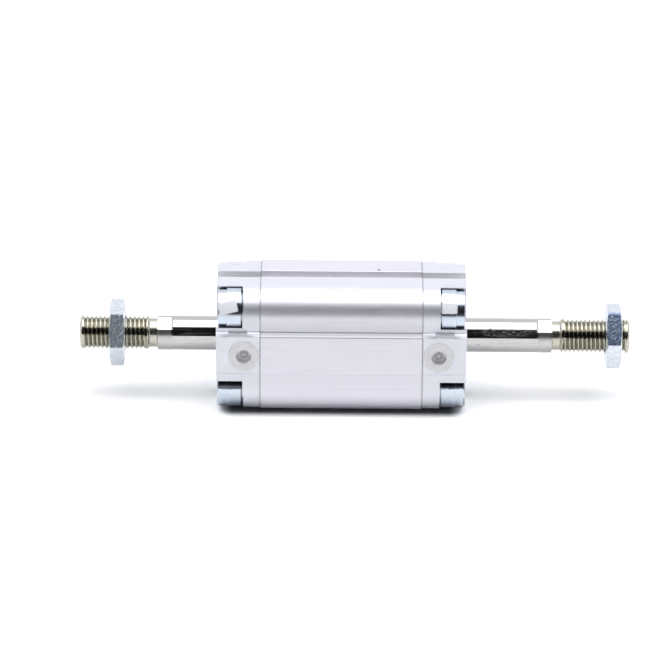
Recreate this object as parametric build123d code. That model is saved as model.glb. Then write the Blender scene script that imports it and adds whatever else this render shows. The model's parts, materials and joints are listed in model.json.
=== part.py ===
from build123d import *
import os

# Double rod pneumatic cylinder, in millimetres.
# The origin is the centre of the left cap's mounting face, on the rod axis.
# +X runs along the rod to the right, +Z is up and the air ports face -Y.

# Housing section
BODY_SIZE = 37.0
CORNER_RADIUS = 7.5
STRIP_RISE = 1.1
STRIP_UPPER_EDGE = 5.85
STRIP_LOWER_EDGE = 5.4
CAP_STRIP_LOWER_EDGE = 5.05
STRIP_UPPER_BEVEL = 1.25
STRIP_LOWER_BEVEL = 0.4

# Sensor slots in the top, back and bottom faces
SLOT_OPENING = 5.0
SLOT_WIDTH = 6.6
SLOT_DEPTH = 4.5
SLOT_LIP = 1.5
SLOT_ANGLES = (0.0, -90.0, 180.0)

# Working parts
STROKE = 32.0
BORE = 20.0
ROD_DIAMETER = 10.0
STOP_GAP = 0.02
RUNNING_CLEARANCE = 0.02
SEATED_CLEARANCE = 0.02

# Piston
PISTON_CLEARANCE = 0.2
PISTON_FLANGE = 0.7
PISTON_WEB = 0.6
SEAL_GROOVE_WIDTH = 1.9
SEAL_HEIGHT = 2.2
SEAL_SIDE_GAP = 0.05
SEAL_NOTCH_DEPTH = 0.7
SEAL_NOTCH_WIDTH = 0.8
MAGNET_LENGTH = 2.6
MAGNET_WALL = 2.0
GUIDE_WALL = 1.3
GUIDE_CLEARANCE = 0.05
GUIDE_GAP = 1.0
CLIP_THICKNESS = 1.0
CLIP_WALL = 1.6
CLIP_GROOVE_DEPTH = 0.3
CLIP_GAP = 3.0
CLIP_DEPTH = 1.1
CLIP_RECESS_CLEARANCE = 0.3

# Caps
CAP_LENGTH = 12.7
CAP_STEP = 0.25
CAP_END_CHAMFER = 0.4
SPIGOT_LENGTH = 2.5
SPIGOT_CLEARANCE = 0.03
SPIGOT_CHAMFER = 0.3
CAP_GROOVE_FROM_FACE = 0.5
CUSHION_STEP = 0.35
CUSHION_WALL = 1.8
CUSHION_THICKNESS = 2.0
CUSHION_PROUD = 0.4
BUSH_LENGTH = 5.0
BUSH_WALL = 1.0
ROD_SEAL_DIAMETER = 14.0
ROD_SEAL_DEPTH = 3.0
ROD_SEAL_LIP = 0.7

# Round section seals
CAP_ORING_SECTION = 1.16
CAP_ORING_GROOVE_WIDTH = 1.5
CAP_ORING_GROOVE_DEPTH = 1.2
ROD_ORING_SECTION = 0.96
ROD_ORING_GROOVE_WIDTH = 1.4

# Air ports and their transit plugs
PORT_FROM_BARREL = 4.7
PORT_DIAMETER = 5.0
PORT_FLOOR_RADIUS = 7.6
PAD_START = 3.6
PAD_LENGTH = 5.4
PAD_REACH = 1.0
PAD_DRAFT = 0.3
PASSAGE_DIAMETER = 1.9
PASSAGE_OFFSET = 1.2
PLUG_FLANGE_DIAMETER = 8.8
PLUG_FLANGE_THICKNESS = 0.6
PLUG_EDGE = 0.2
PLUG_LENGTH = 4.6
PLUG_DISH_DIAMETER = 4.3
PLUG_DISH_DEPTH = 2.4
PLUG_RECESS_DIAMETER = 2.5
PLUG_RECESS_DEPTH = 3.4
PLUG_NIB_DIAMETER = 0.9
PLUG_NIB_HEIGHT = 1.8

# Cap screws, with a hexagon socket and a threaded bore right through
HEAD_INSET = 0.6
HEAD_COLLAR_STEP = 0.35
HEAD_COLLAR_LENGTH = 2.4
HEAD_SETBACK = 0.6
HEAD_EDGE = 0.4
HEAD_SEAT_STEP = 1.0
HEAD_SEAT_LENGTH = 0.35
POCKET_DEPTH = 7.6
POCKET_CLEARANCE = 0.15
POCKET_TOP_REACH = 0.5
POCKET_SIDE_REACH = 2.9
SHANK_DIAMETER = 8.0
SHANK_REACH = 9.0
SHANK_HOLE_CLEARANCE = 0.2
SCREW_BORE = 4.2
TIE_HOLE_DIAMETER = 4.6
SOCKET_ACROSS = 8.0
SOCKET_DEPTH = 3.0
SOCKET_TURNS = {
    "left_front_top": 12.0,
    "left_front_bottom": 25.0,
    "left_back_top": 50.0,
    "left_back_bottom": 20.0,
    "right_front_top": 0.0,
    "right_front_bottom": 15.0,
    "right_back_top": 40.0,
    "right_back_bottom": 35.0,
}

# Piston rod
ROD_SHIFT = 3.9
ROD_STAND_OFF = 5.3
ROD_END_LENGTH = 22.5
ROD_EDGE = 0.4
THREAD_DIAMETER = 9.94
THREAD_CHAMFER = 0.9
UNDERCUT_DIAMETER = 7.9
UNDERCUT_LENGTH = 2.4
FLAT_ACROSS = 9.0
FLAT_LENGTH = 4.2
FLAT_TURN = 124.0

# Lock nuts
NUT_ACROSS = 17.0
NUT_THICKNESS = 4.7
NUT_FACE_DIAMETER = 16.2
NUT_CHAMFER = 0.55
NUT_BORE_CLEARANCE = 0.05
NUT_BORE_CHAMFER = 0.5
NUT_FROM_TIP = {"left": 8.5, "right": 2.25}
NUT_TURN = {"left": 8.0, "right": -4.0}

# Lengths and radii that follow from the sizes above
PISTON_LENGTH = 2 * (PISTON_FLANGE + SEAL_GROOVE_WIDTH + PISTON_WEB) + MAGNET_LENGTH
CHAMBER_LENGTH = STROKE + PISTON_LENGTH + 2 * (CUSHION_PROUD + STOP_GAP)
BARREL_LENGTH = CHAMBER_LENGTH + 2 * SPIGOT_LENGTH
BODY_LENGTH = BARREL_LENGTH + 2 * CAP_LENGTH
BODY_MIDDLE = BODY_LENGTH / 2
ROD_MIDDLE = BODY_MIDDLE + ROD_SHIFT
HALF_SIZE = BODY_SIZE / 2
STRIP_FACE = HALF_SIZE + STRIP_RISE
PORT_PLACE = CAP_LENGTH - PORT_FROM_BARREL
SCREW_OFFSET = HALF_SIZE - CORNER_RADIUS
HEAD_RADIUS = CORNER_RADIUS - HEAD_INSET
HEAD_COLLAR_RADIUS = HEAD_RADIUS - HEAD_COLLAR_STEP
BORE_RADIUS = BORE / 2
ROD_RADIUS = ROD_DIAMETER / 2
PISTON_RADIUS = BORE_RADIUS - PISTON_CLEARANCE
SEAL_GROOVE_RADIUS = BORE_RADIUS - SEAL_HEIGHT
GUIDE_OUTER_RADIUS = BORE_RADIUS - GUIDE_CLEARANCE
GUIDE_INNER_RADIUS = GUIDE_OUTER_RADIUS - GUIDE_WALL
MAGNET_OUTER_RADIUS = GUIDE_INNER_RADIUS - GUIDE_CLEARANCE
MAGNET_INNER_RADIUS = MAGNET_OUTER_RADIUS - MAGNET_WALL
CLIP_GROOVE_RADIUS = ROD_RADIUS - CLIP_GROOVE_DEPTH
CLIP_OUTER_RADIUS = CLIP_GROOVE_RADIUS + CLIP_WALL
BUSH_OUTER_RADIUS = ROD_RADIUS + RUNNING_CLEARANCE + BUSH_WALL
CUSHION_INNER_RADIUS = BUSH_OUTER_RADIUS + CUSHION_STEP
CUSHION_OUTER_RADIUS = CUSHION_INNER_RADIUS + CUSHION_WALL
SHANK_HALF_LENGTH = BODY_LENGTH / 2 + STROKE / 2 + ROD_STAND_OFF
ROD_HALF_LENGTH = SHANK_HALF_LENGTH + ROD_END_LENGTH
OVERCUT = 1.0


def prism(outline, start, length):
    """Carry an outline drawn in Y and Z along X from start."""
    return extrude(Plane.YZ.offset(start) * outline, length)


def turned(points):
    """Turn a closed outline of (x, radius) points about the rod axis."""
    return revolve(make_face(Polyline(*points, close=True)), Axis.X, 360)


def round_ring(x, section, inner_radius):
    """A ring of round section about the rod axis."""
    return revolve(Pos(x, inner_radius + section / 2) * Circle(section / 2), Axis.X, 360)


def split_gap(x, width, reach):
    """A block that opens the top of a ring, centred on x."""
    return Pos(x, 0, reach / 2) * Box(BORE, width, reach)


def to_side(shape, side):
    """Keep a left hand piece, or mirror it to the right end of the housing."""
    if side == "left":
        return shape
    return mirror(shape, Plane.YZ.offset(BODY_MIDDLE))


def slot_outline():
    """One sensor slot in the top face, with the narrow mouth between its lips."""
    mouth = Pos(0, HALF_SIZE - SLOT_LIP / 2 + OVERCUT / 2) * Rectangle(
        SLOT_OPENING, SLOT_LIP + OVERCUT
    )
    track_height = SLOT_DEPTH - SLOT_LIP
    track = Pos(0, HALF_SIZE - SLOT_LIP - track_height / 2) * Rectangle(SLOT_WIDTH, track_height)
    return mouth + track


def slots(start, length):
    """The sensor slots of a housing section, cut right through its length."""
    outline = Sketch() + [Rot(0, 0, angle) * slot_outline() for angle in SLOT_ANGLES]
    return prism(outline, start - OVERCUT, length + 2 * OVERCUT)


def strip_outline(lower_edge):
    """The raised strip on the port face, with a broad bevel above and a small one below."""
    upper_foot = STRIP_UPPER_EDGE + STRIP_UPPER_BEVEL
    lower_foot = lower_edge + STRIP_LOWER_BEVEL
    return make_face(
        Polyline(
            (-STRIP_FACE, -lower_edge),
            (-STRIP_FACE, STRIP_UPPER_EDGE),
            (-HALF_SIZE, upper_foot),
            (-HALF_SIZE + OVERCUT, upper_foot),
            (-HALF_SIZE + OVERCUT, -lower_foot),
            (-STRIP_FACE + STRIP_LOWER_BEVEL, -lower_foot),
            close=True,
        )
    )


def square_outline(inset):
    """The rounded square of the housing, without its strip and slots, drawn in by inset."""
    size = BODY_SIZE - 2 * inset
    return RectangleRounded(size, size, CORNER_RADIUS - inset)


def screw_places():
    """Y and Z of the four tie screws, with the names of their corners."""
    return {
        "front_top": (-SCREW_OFFSET, SCREW_OFFSET),
        "front_bottom": (-SCREW_OFFSET, -SCREW_OFFSET),
        "back_top": (SCREW_OFFSET, SCREW_OFFSET),
        "back_bottom": (SCREW_OFFSET, -SCREW_OFFSET),
    }


def screw_holes(start, length, radius):
    """Four round holes along the tie screws."""
    outline = Sketch() + [Pos(y, z) * Circle(radius) for y, z in screw_places().values()]
    return prism(outline, start, length)


def barrel():
    """The extruded barrel between the caps."""
    outline = square_outline(0) + strip_outline(STRIP_LOWER_EDGE)
    body = prism(outline, CAP_LENGTH, BARREL_LENGTH) - slots(CAP_LENGTH, BARREL_LENGTH)
    body -= prism(Circle(BORE_RADIUS), CAP_LENGTH, BARREL_LENGTH)
    body -= screw_holes(CAP_LENGTH, BARREL_LENGTH, TIE_HOLE_DIAMETER / 2)
    thread = SHANK_DIAMETER / 2 + SEATED_CLEARANCE
    depth = SHANK_REACH + SEATED_CLEARANCE
    for start in (CAP_LENGTH, CAP_LENGTH + BARREL_LENGTH - depth):
        body -= screw_holes(start, depth, thread)
    return body


def pocket(y, z):
    """The corner pocket of one screw head, open to the side, the top or base and the end."""
    radius = HEAD_RADIUS + POCKET_CLEARANCE
    depth = POCKET_DEPTH + OVERCUT
    out_y = 1 if y > 0 else -1
    out_z = 1 if z > 0 else -1
    inner_y = abs(y) - POCKET_TOP_REACH
    inner_z = abs(z) - POCKET_SIDE_REACH
    wide = HALF_SIZE + OVERCUT - inner_y
    tall = HALF_SIZE + OVERCUT - inner_z
    side = Pos(out_y * (inner_y + wide / 2), out_z * (inner_z + tall / 2)) * Rectangle(wide, tall)
    return prism(Pos(y, z) * Circle(radius) + side, -OVERCUT, depth)


def bevel_pad():
    """A pad that fills the strip's upper bevel beside the port, flush with the strip."""
    edge = STRIP_UPPER_EDGE + PAD_REACH
    foot = edge + PAD_DRAFT
    outline = make_face(
        Polyline(
            (-STRIP_FACE, 0),
            (-STRIP_FACE, edge),
            (-HALF_SIZE, foot),
            (-HALF_SIZE + OVERCUT, foot),
            (-HALF_SIZE + OVERCUT, 0),
            close=True,
        )
    )
    return prism(outline, PAD_START, PAD_LENGTH)


def port_cut():
    """The threaded port and the passage that leads from its floor to the chamber."""
    depth = STRIP_FACE + OVERCUT - PORT_FLOOR_RADIUS
    hole = Pos(PORT_PLACE, -PORT_FLOOR_RADIUS - depth / 2, 0) * Rot(90, 0, 0) * Cylinder(
        PORT_DIAMETER / 2 + SEATED_CLEARANCE, depth
    )
    reach = PORT_FLOOR_RADIUS - BUSH_OUTER_RADIUS + OVERCUT
    middle = PORT_FLOOR_RADIUS - reach / 2
    passage = Pos(PORT_PLACE + PASSAGE_OFFSET, -middle, 0) * Rot(90, 0, 0) * Cylinder(
        PASSAGE_DIAMETER / 2, reach
    )
    return hole + passage


def left_cap():
    """The die cast end cap with its spigot, pockets, port and rod bore."""
    block = prism(square_outline(CAP_STEP), 0, CAP_LENGTH)
    end_edges = block.faces().sort_by(Axis.X)[0].edges()
    block = chamfer(end_edges, CAP_END_CHAMFER)
    block += prism(strip_outline(CAP_STRIP_LOWER_EDGE), 0, CAP_LENGTH)
    block += bevel_pad()
    block -= slots(0, CAP_LENGTH)
    for y, z in screw_places().values():
        block -= pocket(y, z)
    block -= screw_holes(0, CAP_LENGTH, SHANK_DIAMETER / 2 + SHANK_HOLE_CLEARANCE)
    block += spigot()
    block -= turned(rod_bore_outline())
    return block - port_cut()


def spigot():
    """The round register that centres the cap in the bore, with its seal groove."""
    radius = BORE_RADIUS - SPIGOT_CLEARANCE
    inner_end = CAP_LENGTH + SPIGOT_LENGTH
    groove_start = CAP_LENGTH + CAP_GROOVE_FROM_FACE
    groove_end = groove_start + CAP_ORING_GROOVE_WIDTH
    groove_radius = BORE_RADIUS - CAP_ORING_GROOVE_DEPTH
    cushion_floor = inner_end + CUSHION_PROUD - CUSHION_THICKNESS
    cushion_inner = CUSHION_INNER_RADIUS - SEATED_CLEARANCE
    cushion_outer = CUSHION_OUTER_RADIUS + SEATED_CLEARANCE
    solid = turned(
        (
            (CAP_LENGTH, 0),
            (CAP_LENGTH, radius),
            (groove_start, radius),
            (groove_start, groove_radius),
            (groove_end, groove_radius),
            (groove_end, radius),
            (inner_end - SPIGOT_CHAMFER, radius),
            (inner_end, radius - SPIGOT_CHAMFER),
            (inner_end, 0),
        )
    )
    return solid - turned(
        (
            (cushion_floor, cushion_inner),
            (cushion_floor, cushion_outer),
            (inner_end + OVERCUT, cushion_outer),
            (inner_end + OVERCUT, cushion_inner),
        )
    )


def rod_bore_outline():
    """The stepped bore for the rod: seal housing, then bush seat and air space."""
    end = CAP_LENGTH + SPIGOT_LENGTH + OVERCUT
    return (
        (-OVERCUT, 0),
        (-OVERCUT, ROD_SEAL_DIAMETER / 2 + SEATED_CLEARANCE),
        (ROD_SEAL_DEPTH, ROD_SEAL_DIAMETER / 2 + SEATED_CLEARANCE),
        (ROD_SEAL_DEPTH, BUSH_OUTER_RADIUS + SEATED_CLEARANCE),
        (end, BUSH_OUTER_RADIUS + SEATED_CLEARANCE),
        (end, 0),
    )


def left_rod_bush():
    """The plain bearing of the rod."""
    inner = ROD_RADIUS + RUNNING_CLEARANCE
    end = ROD_SEAL_DEPTH + BUSH_LENGTH
    return turned(
        (
            (ROD_SEAL_DEPTH, inner),
            (ROD_SEAL_DEPTH, BUSH_OUTER_RADIUS),
            (end, BUSH_OUTER_RADIUS),
            (end, inner),
        )
    )


def left_rod_seal():
    """The combined rod seal and wiper, with a lip at each end of its inner side."""
    lip = ROD_RADIUS + RUNNING_CLEARANCE
    outer = ROD_SEAL_DIAMETER / 2
    waist = lip + ROD_SEAL_LIP
    web = ROD_SEAL_LIP / 2
    return turned(
        (
            (SEAL_SIDE_GAP, lip),
            (SEAL_SIDE_GAP, waist),
            (SEAL_SIDE_GAP + web, outer),
            (ROD_SEAL_DEPTH, outer),
            (ROD_SEAL_DEPTH, waist),
            (ROD_SEAL_DEPTH - web, lip),
            (ROD_SEAL_DEPTH - 2 * web, lip),
            (ROD_SEAL_DEPTH / 2, waist),
            (SEAL_SIDE_GAP + web, lip),
        )
    )


def left_cap_oring():
    """The seal between spigot and bore."""
    x = CAP_LENGTH + CAP_GROOVE_FROM_FACE + CAP_ORING_GROOVE_WIDTH / 2
    return round_ring(x, CAP_ORING_SECTION, BORE_RADIUS - CAP_ORING_GROOVE_DEPTH + SEATED_CLEARANCE)


def left_cushion_ring():
    """The elastic ring that stops the piston at the end of its stroke."""
    end = CAP_LENGTH + SPIGOT_LENGTH + CUSHION_PROUD
    start = end - CUSHION_THICKNESS
    return turned(
        (
            (start, CUSHION_INNER_RADIUS),
            (start, CUSHION_OUTER_RADIUS),
            (end, CUSHION_OUTER_RADIUS),
            (end, CUSHION_INNER_RADIUS),
        )
    )


def left_port_plug():
    """The soft plug that closes a port, with a stepped recess and a nib on its floor."""
    stem = PORT_DIAMETER / 2
    flange = PLUG_FLANGE_DIAMETER / 2
    top = PLUG_FLANGE_THICKNESS
    dish = PLUG_DISH_DIAMETER / 2
    dish_floor = top - PLUG_DISH_DEPTH
    recess = PLUG_RECESS_DIAMETER / 2
    floor = top - PLUG_RECESS_DEPTH
    nib = PLUG_NIB_DIAMETER / 2
    outline = (
        (-PLUG_LENGTH, 0),
        (-PLUG_LENGTH, stem - PLUG_EDGE),
        (-PLUG_LENGTH + PLUG_EDGE, stem),
        (0, stem),
        (0, flange),
        (top - PLUG_EDGE, flange),
        (top, flange - PLUG_EDGE),
        (top, dish),
        (dish_floor, dish),
        (dish_floor, recess),
        (floor, recess),
        (floor, nib),
        (floor + PLUG_NIB_HEIGHT, nib - PLUG_EDGE),
        (floor + PLUG_NIB_HEIGHT, 0),
    )
    return Pos(PORT_PLACE, -STRIP_FACE, 0) * Rot(0, 0, -90) * turned(outline)


def left_screw(corner, turn):
    """One cap screw with collared head, hexagon socket and threaded bore."""
    y, z = screw_places()[corner]
    shoulder = POCKET_DEPTH
    tip = CAP_LENGTH + SHANK_REACH
    shank = SHANK_DIAMETER / 2
    collar = HEAD_COLLAR_RADIUS
    head = HEAD_RADIUS
    collar_end = HEAD_SETBACK + HEAD_COLLAR_LENGTH
    bore = SCREW_BORE / 2
    body = turned(
        (
            (HEAD_SETBACK, bore),
            (HEAD_SETBACK, collar - HEAD_EDGE),
            (HEAD_SETBACK + HEAD_EDGE, collar),
            (collar_end, collar),
            (collar_end, head),
            (shoulder - HEAD_SEAT_LENGTH, head),
            (shoulder - HEAD_SEAT_LENGTH, head - HEAD_SEAT_STEP),
            (shoulder, head - HEAD_SEAT_STEP),
            (shoulder, shank),
            (tip - HEAD_EDGE, shank),
            (tip, shank - HEAD_EDGE),
            (tip, bore),
        )
    )
    hexagon = RegularPolygon(SOCKET_ACROSS / 3**0.5, 6, major_radius=True, rotation=turn)
    body -= prism(hexagon, HEAD_SETBACK - OVERCUT, SOCKET_DEPTH + OVERCUT)
    return Pos(0, y, z) * body


def rod_flats(end, inward):
    """Two cuts that leave flats beside one rod shoulder."""
    middle = end + inward * FLAT_LENGTH / 2
    block = Box(FLAT_LENGTH, ROD_RADIUS, ROD_DIAMETER)
    block = Pos(middle, FLAT_ACROSS / 2 + ROD_RADIUS / 2, 0) * block
    return [Rot(turn, 0, 0) * block for turn in (FLAT_TURN, FLAT_TURN + 180)]


def piston_rod():
    """The through rod with a thread, undercut and flats at each end."""
    rod = ROD_RADIUS
    thread = THREAD_DIAMETER / 2
    undercut = UNDERCUT_DIAMETER / 2
    groove = CLIP_GROOVE_RADIUS
    clip_inner = PISTON_LENGTH / 2 - CLIP_DEPTH
    clip_outer = clip_inner + CLIP_THICKNESS
    half = (
        (clip_inner, rod),
        (clip_inner, groove),
        (clip_outer, groove),
        (clip_outer, rod),
        (SHANK_HALF_LENGTH - ROD_EDGE, rod),
        (SHANK_HALF_LENGTH, rod - ROD_EDGE),
        (SHANK_HALF_LENGTH, undercut),
        (SHANK_HALF_LENGTH + UNDERCUT_LENGTH, undercut),
        (SHANK_HALF_LENGTH + UNDERCUT_LENGTH, thread),
        (ROD_HALF_LENGTH - THREAD_CHAMFER, thread),
        (ROD_HALF_LENGTH, thread - THREAD_CHAMFER),
        (ROD_HALF_LENGTH, 0),
    )
    right = [(ROD_MIDDLE + x, r) for x, r in half]
    left = [(ROD_MIDDLE - x, r) for x, r in reversed(half)]
    body = turned(left + right)
    for cut in rod_flats(ROD_MIDDLE - SHANK_HALF_LENGTH, 1):
        body -= cut
    for cut in rod_flats(ROD_MIDDLE + SHANK_HALF_LENGTH, -1):
        body -= cut
    return body


def piston_half(side):
    """One half of the piston, with its seal groove and the recess for its clip."""
    bore = ROD_RADIUS + SEATED_CLEARANCE
    recess = CLIP_OUTER_RADIUS + CLIP_RECESS_CLEARANCE
    rim = PISTON_RADIUS
    groove = SEAL_GROOVE_RADIUS
    hub = MAGNET_INNER_RADIUS - SEATED_CLEARANCE
    seal = ROD_RADIUS + ROD_ORING_SECTION + 2 * SEATED_CLEARANCE
    end = PISTON_LENGTH / 2
    groove_outer = end - PISTON_FLANGE
    groove_inner = groove_outer - SEAL_GROOVE_WIDTH
    web_inner = groove_inner - PISTON_WEB
    outline = (
        (0, seal),
        (0, hub),
        (web_inner, hub),
        (web_inner, rim),
        (groove_inner, rim),
        (groove_inner, groove),
        (groove_outer, groove),
        (groove_outer, rim),
        (end, rim),
        (end, recess),
        (end - CLIP_DEPTH, recess),
        (end - CLIP_DEPTH, bore),
        (ROD_ORING_GROOVE_WIDTH / 2, bore),
        (ROD_ORING_GROOVE_WIDTH / 2, seal),
    )
    way = -1 if side == "left" else 1
    return turned([(ROD_MIDDLE + way * x, r) for x, r in outline])


def piston_seal(side):
    """A lip seal that opens towards its own chamber."""
    inner = SEAL_GROOVE_RADIUS + RUNNING_CLEARANCE
    outer = BORE_RADIUS - RUNNING_CLEARANCE
    middle = (inner + outer) / 2
    near = PISTON_LENGTH / 2 - PISTON_FLANGE - SEAL_GROOVE_WIDTH + SEAL_SIDE_GAP
    far = PISTON_LENGTH / 2 - PISTON_FLANGE - SEAL_SIDE_GAP
    outline = (
        (near, inner),
        (near, outer - SEAL_SIDE_GAP),
        (far, outer),
        (far, middle + SEAL_NOTCH_WIDTH / 2),
        (far - SEAL_NOTCH_DEPTH, middle),
        (far, middle - SEAL_NOTCH_WIDTH / 2),
        (far, inner),
    )
    way = -1 if side == "left" else 1
    return turned([(ROD_MIDDLE + way * x, r) for x, r in outline])


def piston_clip(side):
    """The open snap ring that holds the piston on the rod."""
    inner = CLIP_GROOVE_RADIUS + SEATED_CLEARANCE
    outer = CLIP_OUTER_RADIUS
    start = PISTON_LENGTH / 2 - CLIP_DEPTH
    end = start + CLIP_THICKNESS - SEATED_CLEARANCE
    way = -1 if side == "left" else 1
    outline = ((start, inner), (start, outer), (end, outer), (end, inner))
    ring = turned([(ROD_MIDDLE + way * x, r) for x, r in outline])
    return ring - split_gap(ROD_MIDDLE, CLIP_GAP, BORE)


def magnet_ring():
    """The magnet that a sensor in a slot reads, clamped between the piston halves."""
    inner = MAGNET_INNER_RADIUS
    outer = MAGNET_OUTER_RADIUS
    start = ROD_MIDDLE - MAGNET_LENGTH / 2
    end = ROD_MIDDLE + MAGNET_LENGTH / 2
    return turned(((start, inner), (start, outer), (end, outer), (end, inner)))


def piston_guide_ring():
    """The split wear ring that carries the piston in the bore."""
    inner = GUIDE_INNER_RADIUS
    outer = GUIDE_OUTER_RADIUS
    start = ROD_MIDDLE - MAGNET_LENGTH / 2 + SEAL_SIDE_GAP
    end = ROD_MIDDLE + MAGNET_LENGTH / 2 - SEAL_SIDE_GAP
    ring = turned(((start, inner), (start, outer), (end, outer), (end, inner)))
    return ring - split_gap(ROD_MIDDLE, GUIDE_GAP, BORE)


def piston_oring():
    """The seal between the piston halves and the rod."""
    return round_ring(ROD_MIDDLE, ROD_ORING_SECTION, ROD_RADIUS + SEATED_CLEARANCE)


def lock_nut(side):
    """A thin hexagon nut, chamfered at both faces, on its place on the thread."""
    tip = ROD_HALF_LENGTH - NUT_FROM_TIP[side]
    way = -1 if side == "left" else 1
    start = ROD_MIDDLE + (tip - NUT_THICKNESS if side == "right" else -tip)
    end = start + NUT_THICKNESS
    bore = THREAD_DIAMETER / 2 + NUT_BORE_CLEARANCE
    corner = NUT_ACROSS / 3**0.5
    face = NUT_FACE_DIAMETER / 2
    hexagon = RegularPolygon(corner, 6, major_radius=True, rotation=NUT_TURN[side])
    blank = turned(
        (
            (start, bore + NUT_BORE_CHAMFER),
            (start, face),
            (start + NUT_CHAMFER, corner + OVERCUT / 2),
            (end - NUT_CHAMFER, corner + OVERCUT / 2),
            (end, face),
            (end, bore + NUT_BORE_CHAMFER),
            (end - NUT_BORE_CHAMFER, bore),
            (start + NUT_BORE_CHAMFER, bore),
        )
    )
    return prism(hexagon, start, NUT_THICKNESS) & blank


def pieces():
    """Every piece by name, in its place."""
    made = {"barrel": barrel(), "piston_rod": piston_rod()}
    made["magnet_ring"] = magnet_ring()
    made["piston_guide_ring"] = piston_guide_ring()
    made["piston_oring"] = piston_oring()
    for side in ("left", "right"):
        made[f"{side}_cap"] = to_side(left_cap(), side)
        made[f"{side}_port_plug"] = to_side(left_port_plug(), side)
        made[f"{side}_rod_bush"] = to_side(left_rod_bush(), side)
        made[f"{side}_rod_seal"] = to_side(left_rod_seal(), side)
        made[f"{side}_cap_oring"] = to_side(left_cap_oring(), side)
        made[f"{side}_cushion_ring"] = to_side(left_cushion_ring(), side)
        made[f"{side}_piston_half"] = piston_half(side)
        made[f"{side}_piston_seal"] = piston_seal(side)
        made[f"{side}_piston_clip"] = piston_clip(side)
        made[f"{side}_lock_nut"] = lock_nut(side)
        for corner in screw_places():
            turn = SOCKET_TURNS[f"{side}_{corner}"]
            made[f"{side}_screw_{corner}"] = to_side(left_screw(corner, turn), side)
    return made


os.makedirs("parts", exist_ok=True)
for name, shape in pieces().items():
    export_step(shape, f"parts/{name}.step")
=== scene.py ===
"""Looks of a compact double rod pneumatic cylinder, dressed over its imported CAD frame."""

import json
import logging
import math
from dataclasses import dataclass, field, replace
from enum import Enum
from typing import Any, Callable, ClassVar, Iterator, Optional, Union

import bmesh
import bpy
import numpy as np
from mathutils import Matrix, Vector


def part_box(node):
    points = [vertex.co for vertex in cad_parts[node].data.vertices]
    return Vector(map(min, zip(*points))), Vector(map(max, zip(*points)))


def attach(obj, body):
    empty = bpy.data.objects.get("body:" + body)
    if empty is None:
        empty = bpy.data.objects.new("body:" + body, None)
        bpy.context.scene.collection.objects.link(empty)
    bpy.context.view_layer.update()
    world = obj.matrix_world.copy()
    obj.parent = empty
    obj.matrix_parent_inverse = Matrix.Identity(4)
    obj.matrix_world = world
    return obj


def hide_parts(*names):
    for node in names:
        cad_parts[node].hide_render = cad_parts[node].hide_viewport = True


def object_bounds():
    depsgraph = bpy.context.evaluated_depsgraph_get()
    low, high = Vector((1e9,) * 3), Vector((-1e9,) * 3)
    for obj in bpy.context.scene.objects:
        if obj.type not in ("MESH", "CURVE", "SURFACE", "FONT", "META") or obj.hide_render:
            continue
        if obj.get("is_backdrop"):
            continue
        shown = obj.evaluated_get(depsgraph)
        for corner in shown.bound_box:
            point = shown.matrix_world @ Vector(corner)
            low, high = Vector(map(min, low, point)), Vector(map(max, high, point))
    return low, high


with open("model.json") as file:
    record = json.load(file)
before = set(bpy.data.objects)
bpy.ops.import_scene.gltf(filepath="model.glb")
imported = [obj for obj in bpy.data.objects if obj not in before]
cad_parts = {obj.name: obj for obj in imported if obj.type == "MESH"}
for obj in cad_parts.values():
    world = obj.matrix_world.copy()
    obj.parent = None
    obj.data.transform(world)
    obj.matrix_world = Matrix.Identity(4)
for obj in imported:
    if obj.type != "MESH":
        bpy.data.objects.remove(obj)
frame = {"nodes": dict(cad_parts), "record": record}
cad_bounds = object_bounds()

log = logging.getLogger("scene")

MM = 0.001
TURN = 2 * math.pi
SIXTH = TURN / 6
SHARP_ANGLE = math.radians(20)
FLAT_ANGLE = math.radians(0.3)
EASED_ANGLE = math.radians(35)
EASED_SEGMENTS = 2
WELD_DISTANCE = 1e-7
ARC_STEPS = 3
CLIP_RANGE = (0.05, 20.0)

Colour = tuple[float, float, float]
Value = Union["Wire", float, Colour]

ORIGIN: Colour = (0.0, 0.0, 0.0)
WHITE: Colour = (1.0, 1.0, 1.0)
# Nearly black: the nicks on the rod, and the painted shade on the walls of the screw pockets.
GRIME_AND_SHADE: Colour = (0.03, 0.03, 0.04)


def extent(node: str) -> tuple[np.ndarray, np.ndarray]:
    """The lowest and highest corner of a CAD node.

    Args:
        node: The node's name.

    Returns:
        Both corners, in millimetres.
    """
    low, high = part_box(node)
    return np.array(low) / MM, np.array(high) / MM


def middle(node: str) -> np.ndarray:
    """The middle of a CAD node's box, in millimetres."""
    low, high = extent(node)
    return (low + high) / 2


def body_of(node: str) -> str:
    """The CAD body that a node moves with."""
    bodies = frame["record"]["behaviour"]["bodies"]
    return next(body for body, members in bodies.items() if node in members)


class Side(Enum):
    """An end of the housing."""

    LEFT = "left"
    RIGHT = "right"

    @property
    def inward(self) -> float:
        """The direction along X from this end into the housing."""
        return 1.0 if self is Side.LEFT else -1.0

    @property
    def end(self) -> float:
        """Where the housing ends on this side, in millimetres along X."""
        low, high = extent(f"{self.value}_cap")
        return float(low[0] if self is Side.LEFT else high[0])

    @property
    def joint(self) -> float:
        """Where this cap meets the barrel, in millimetres along X."""
        low, high = extent("barrel")
        return float(low[0] if self is Side.LEFT else high[0])


class Slot(Enum):
    """The record's material slots of the pieces that get a new shape."""

    BARREL = "barrel"
    CAP = "cap"
    SCREW = "screw"
    PLUG = "plug"
    ROD = "rod"
    NUT = "nut"


def operator(operation: str, swapped: bool = False) -> Callable[["Wire", Value], "Wire"]:
    """A wire's method that joins it with another value by a Math node.

    Args:
        operation: The node's operation.
        swapped: Whether the other value comes first, as in 1 - mask.

    Returns:
        The method.
    """

    def method(wire: "Wire", other: Value) -> "Wire":
        """The node's result."""
        first, second = (other, wire) if swapped else (wire, other)
        return wire.maths(operation, first, second)

    return method


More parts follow.
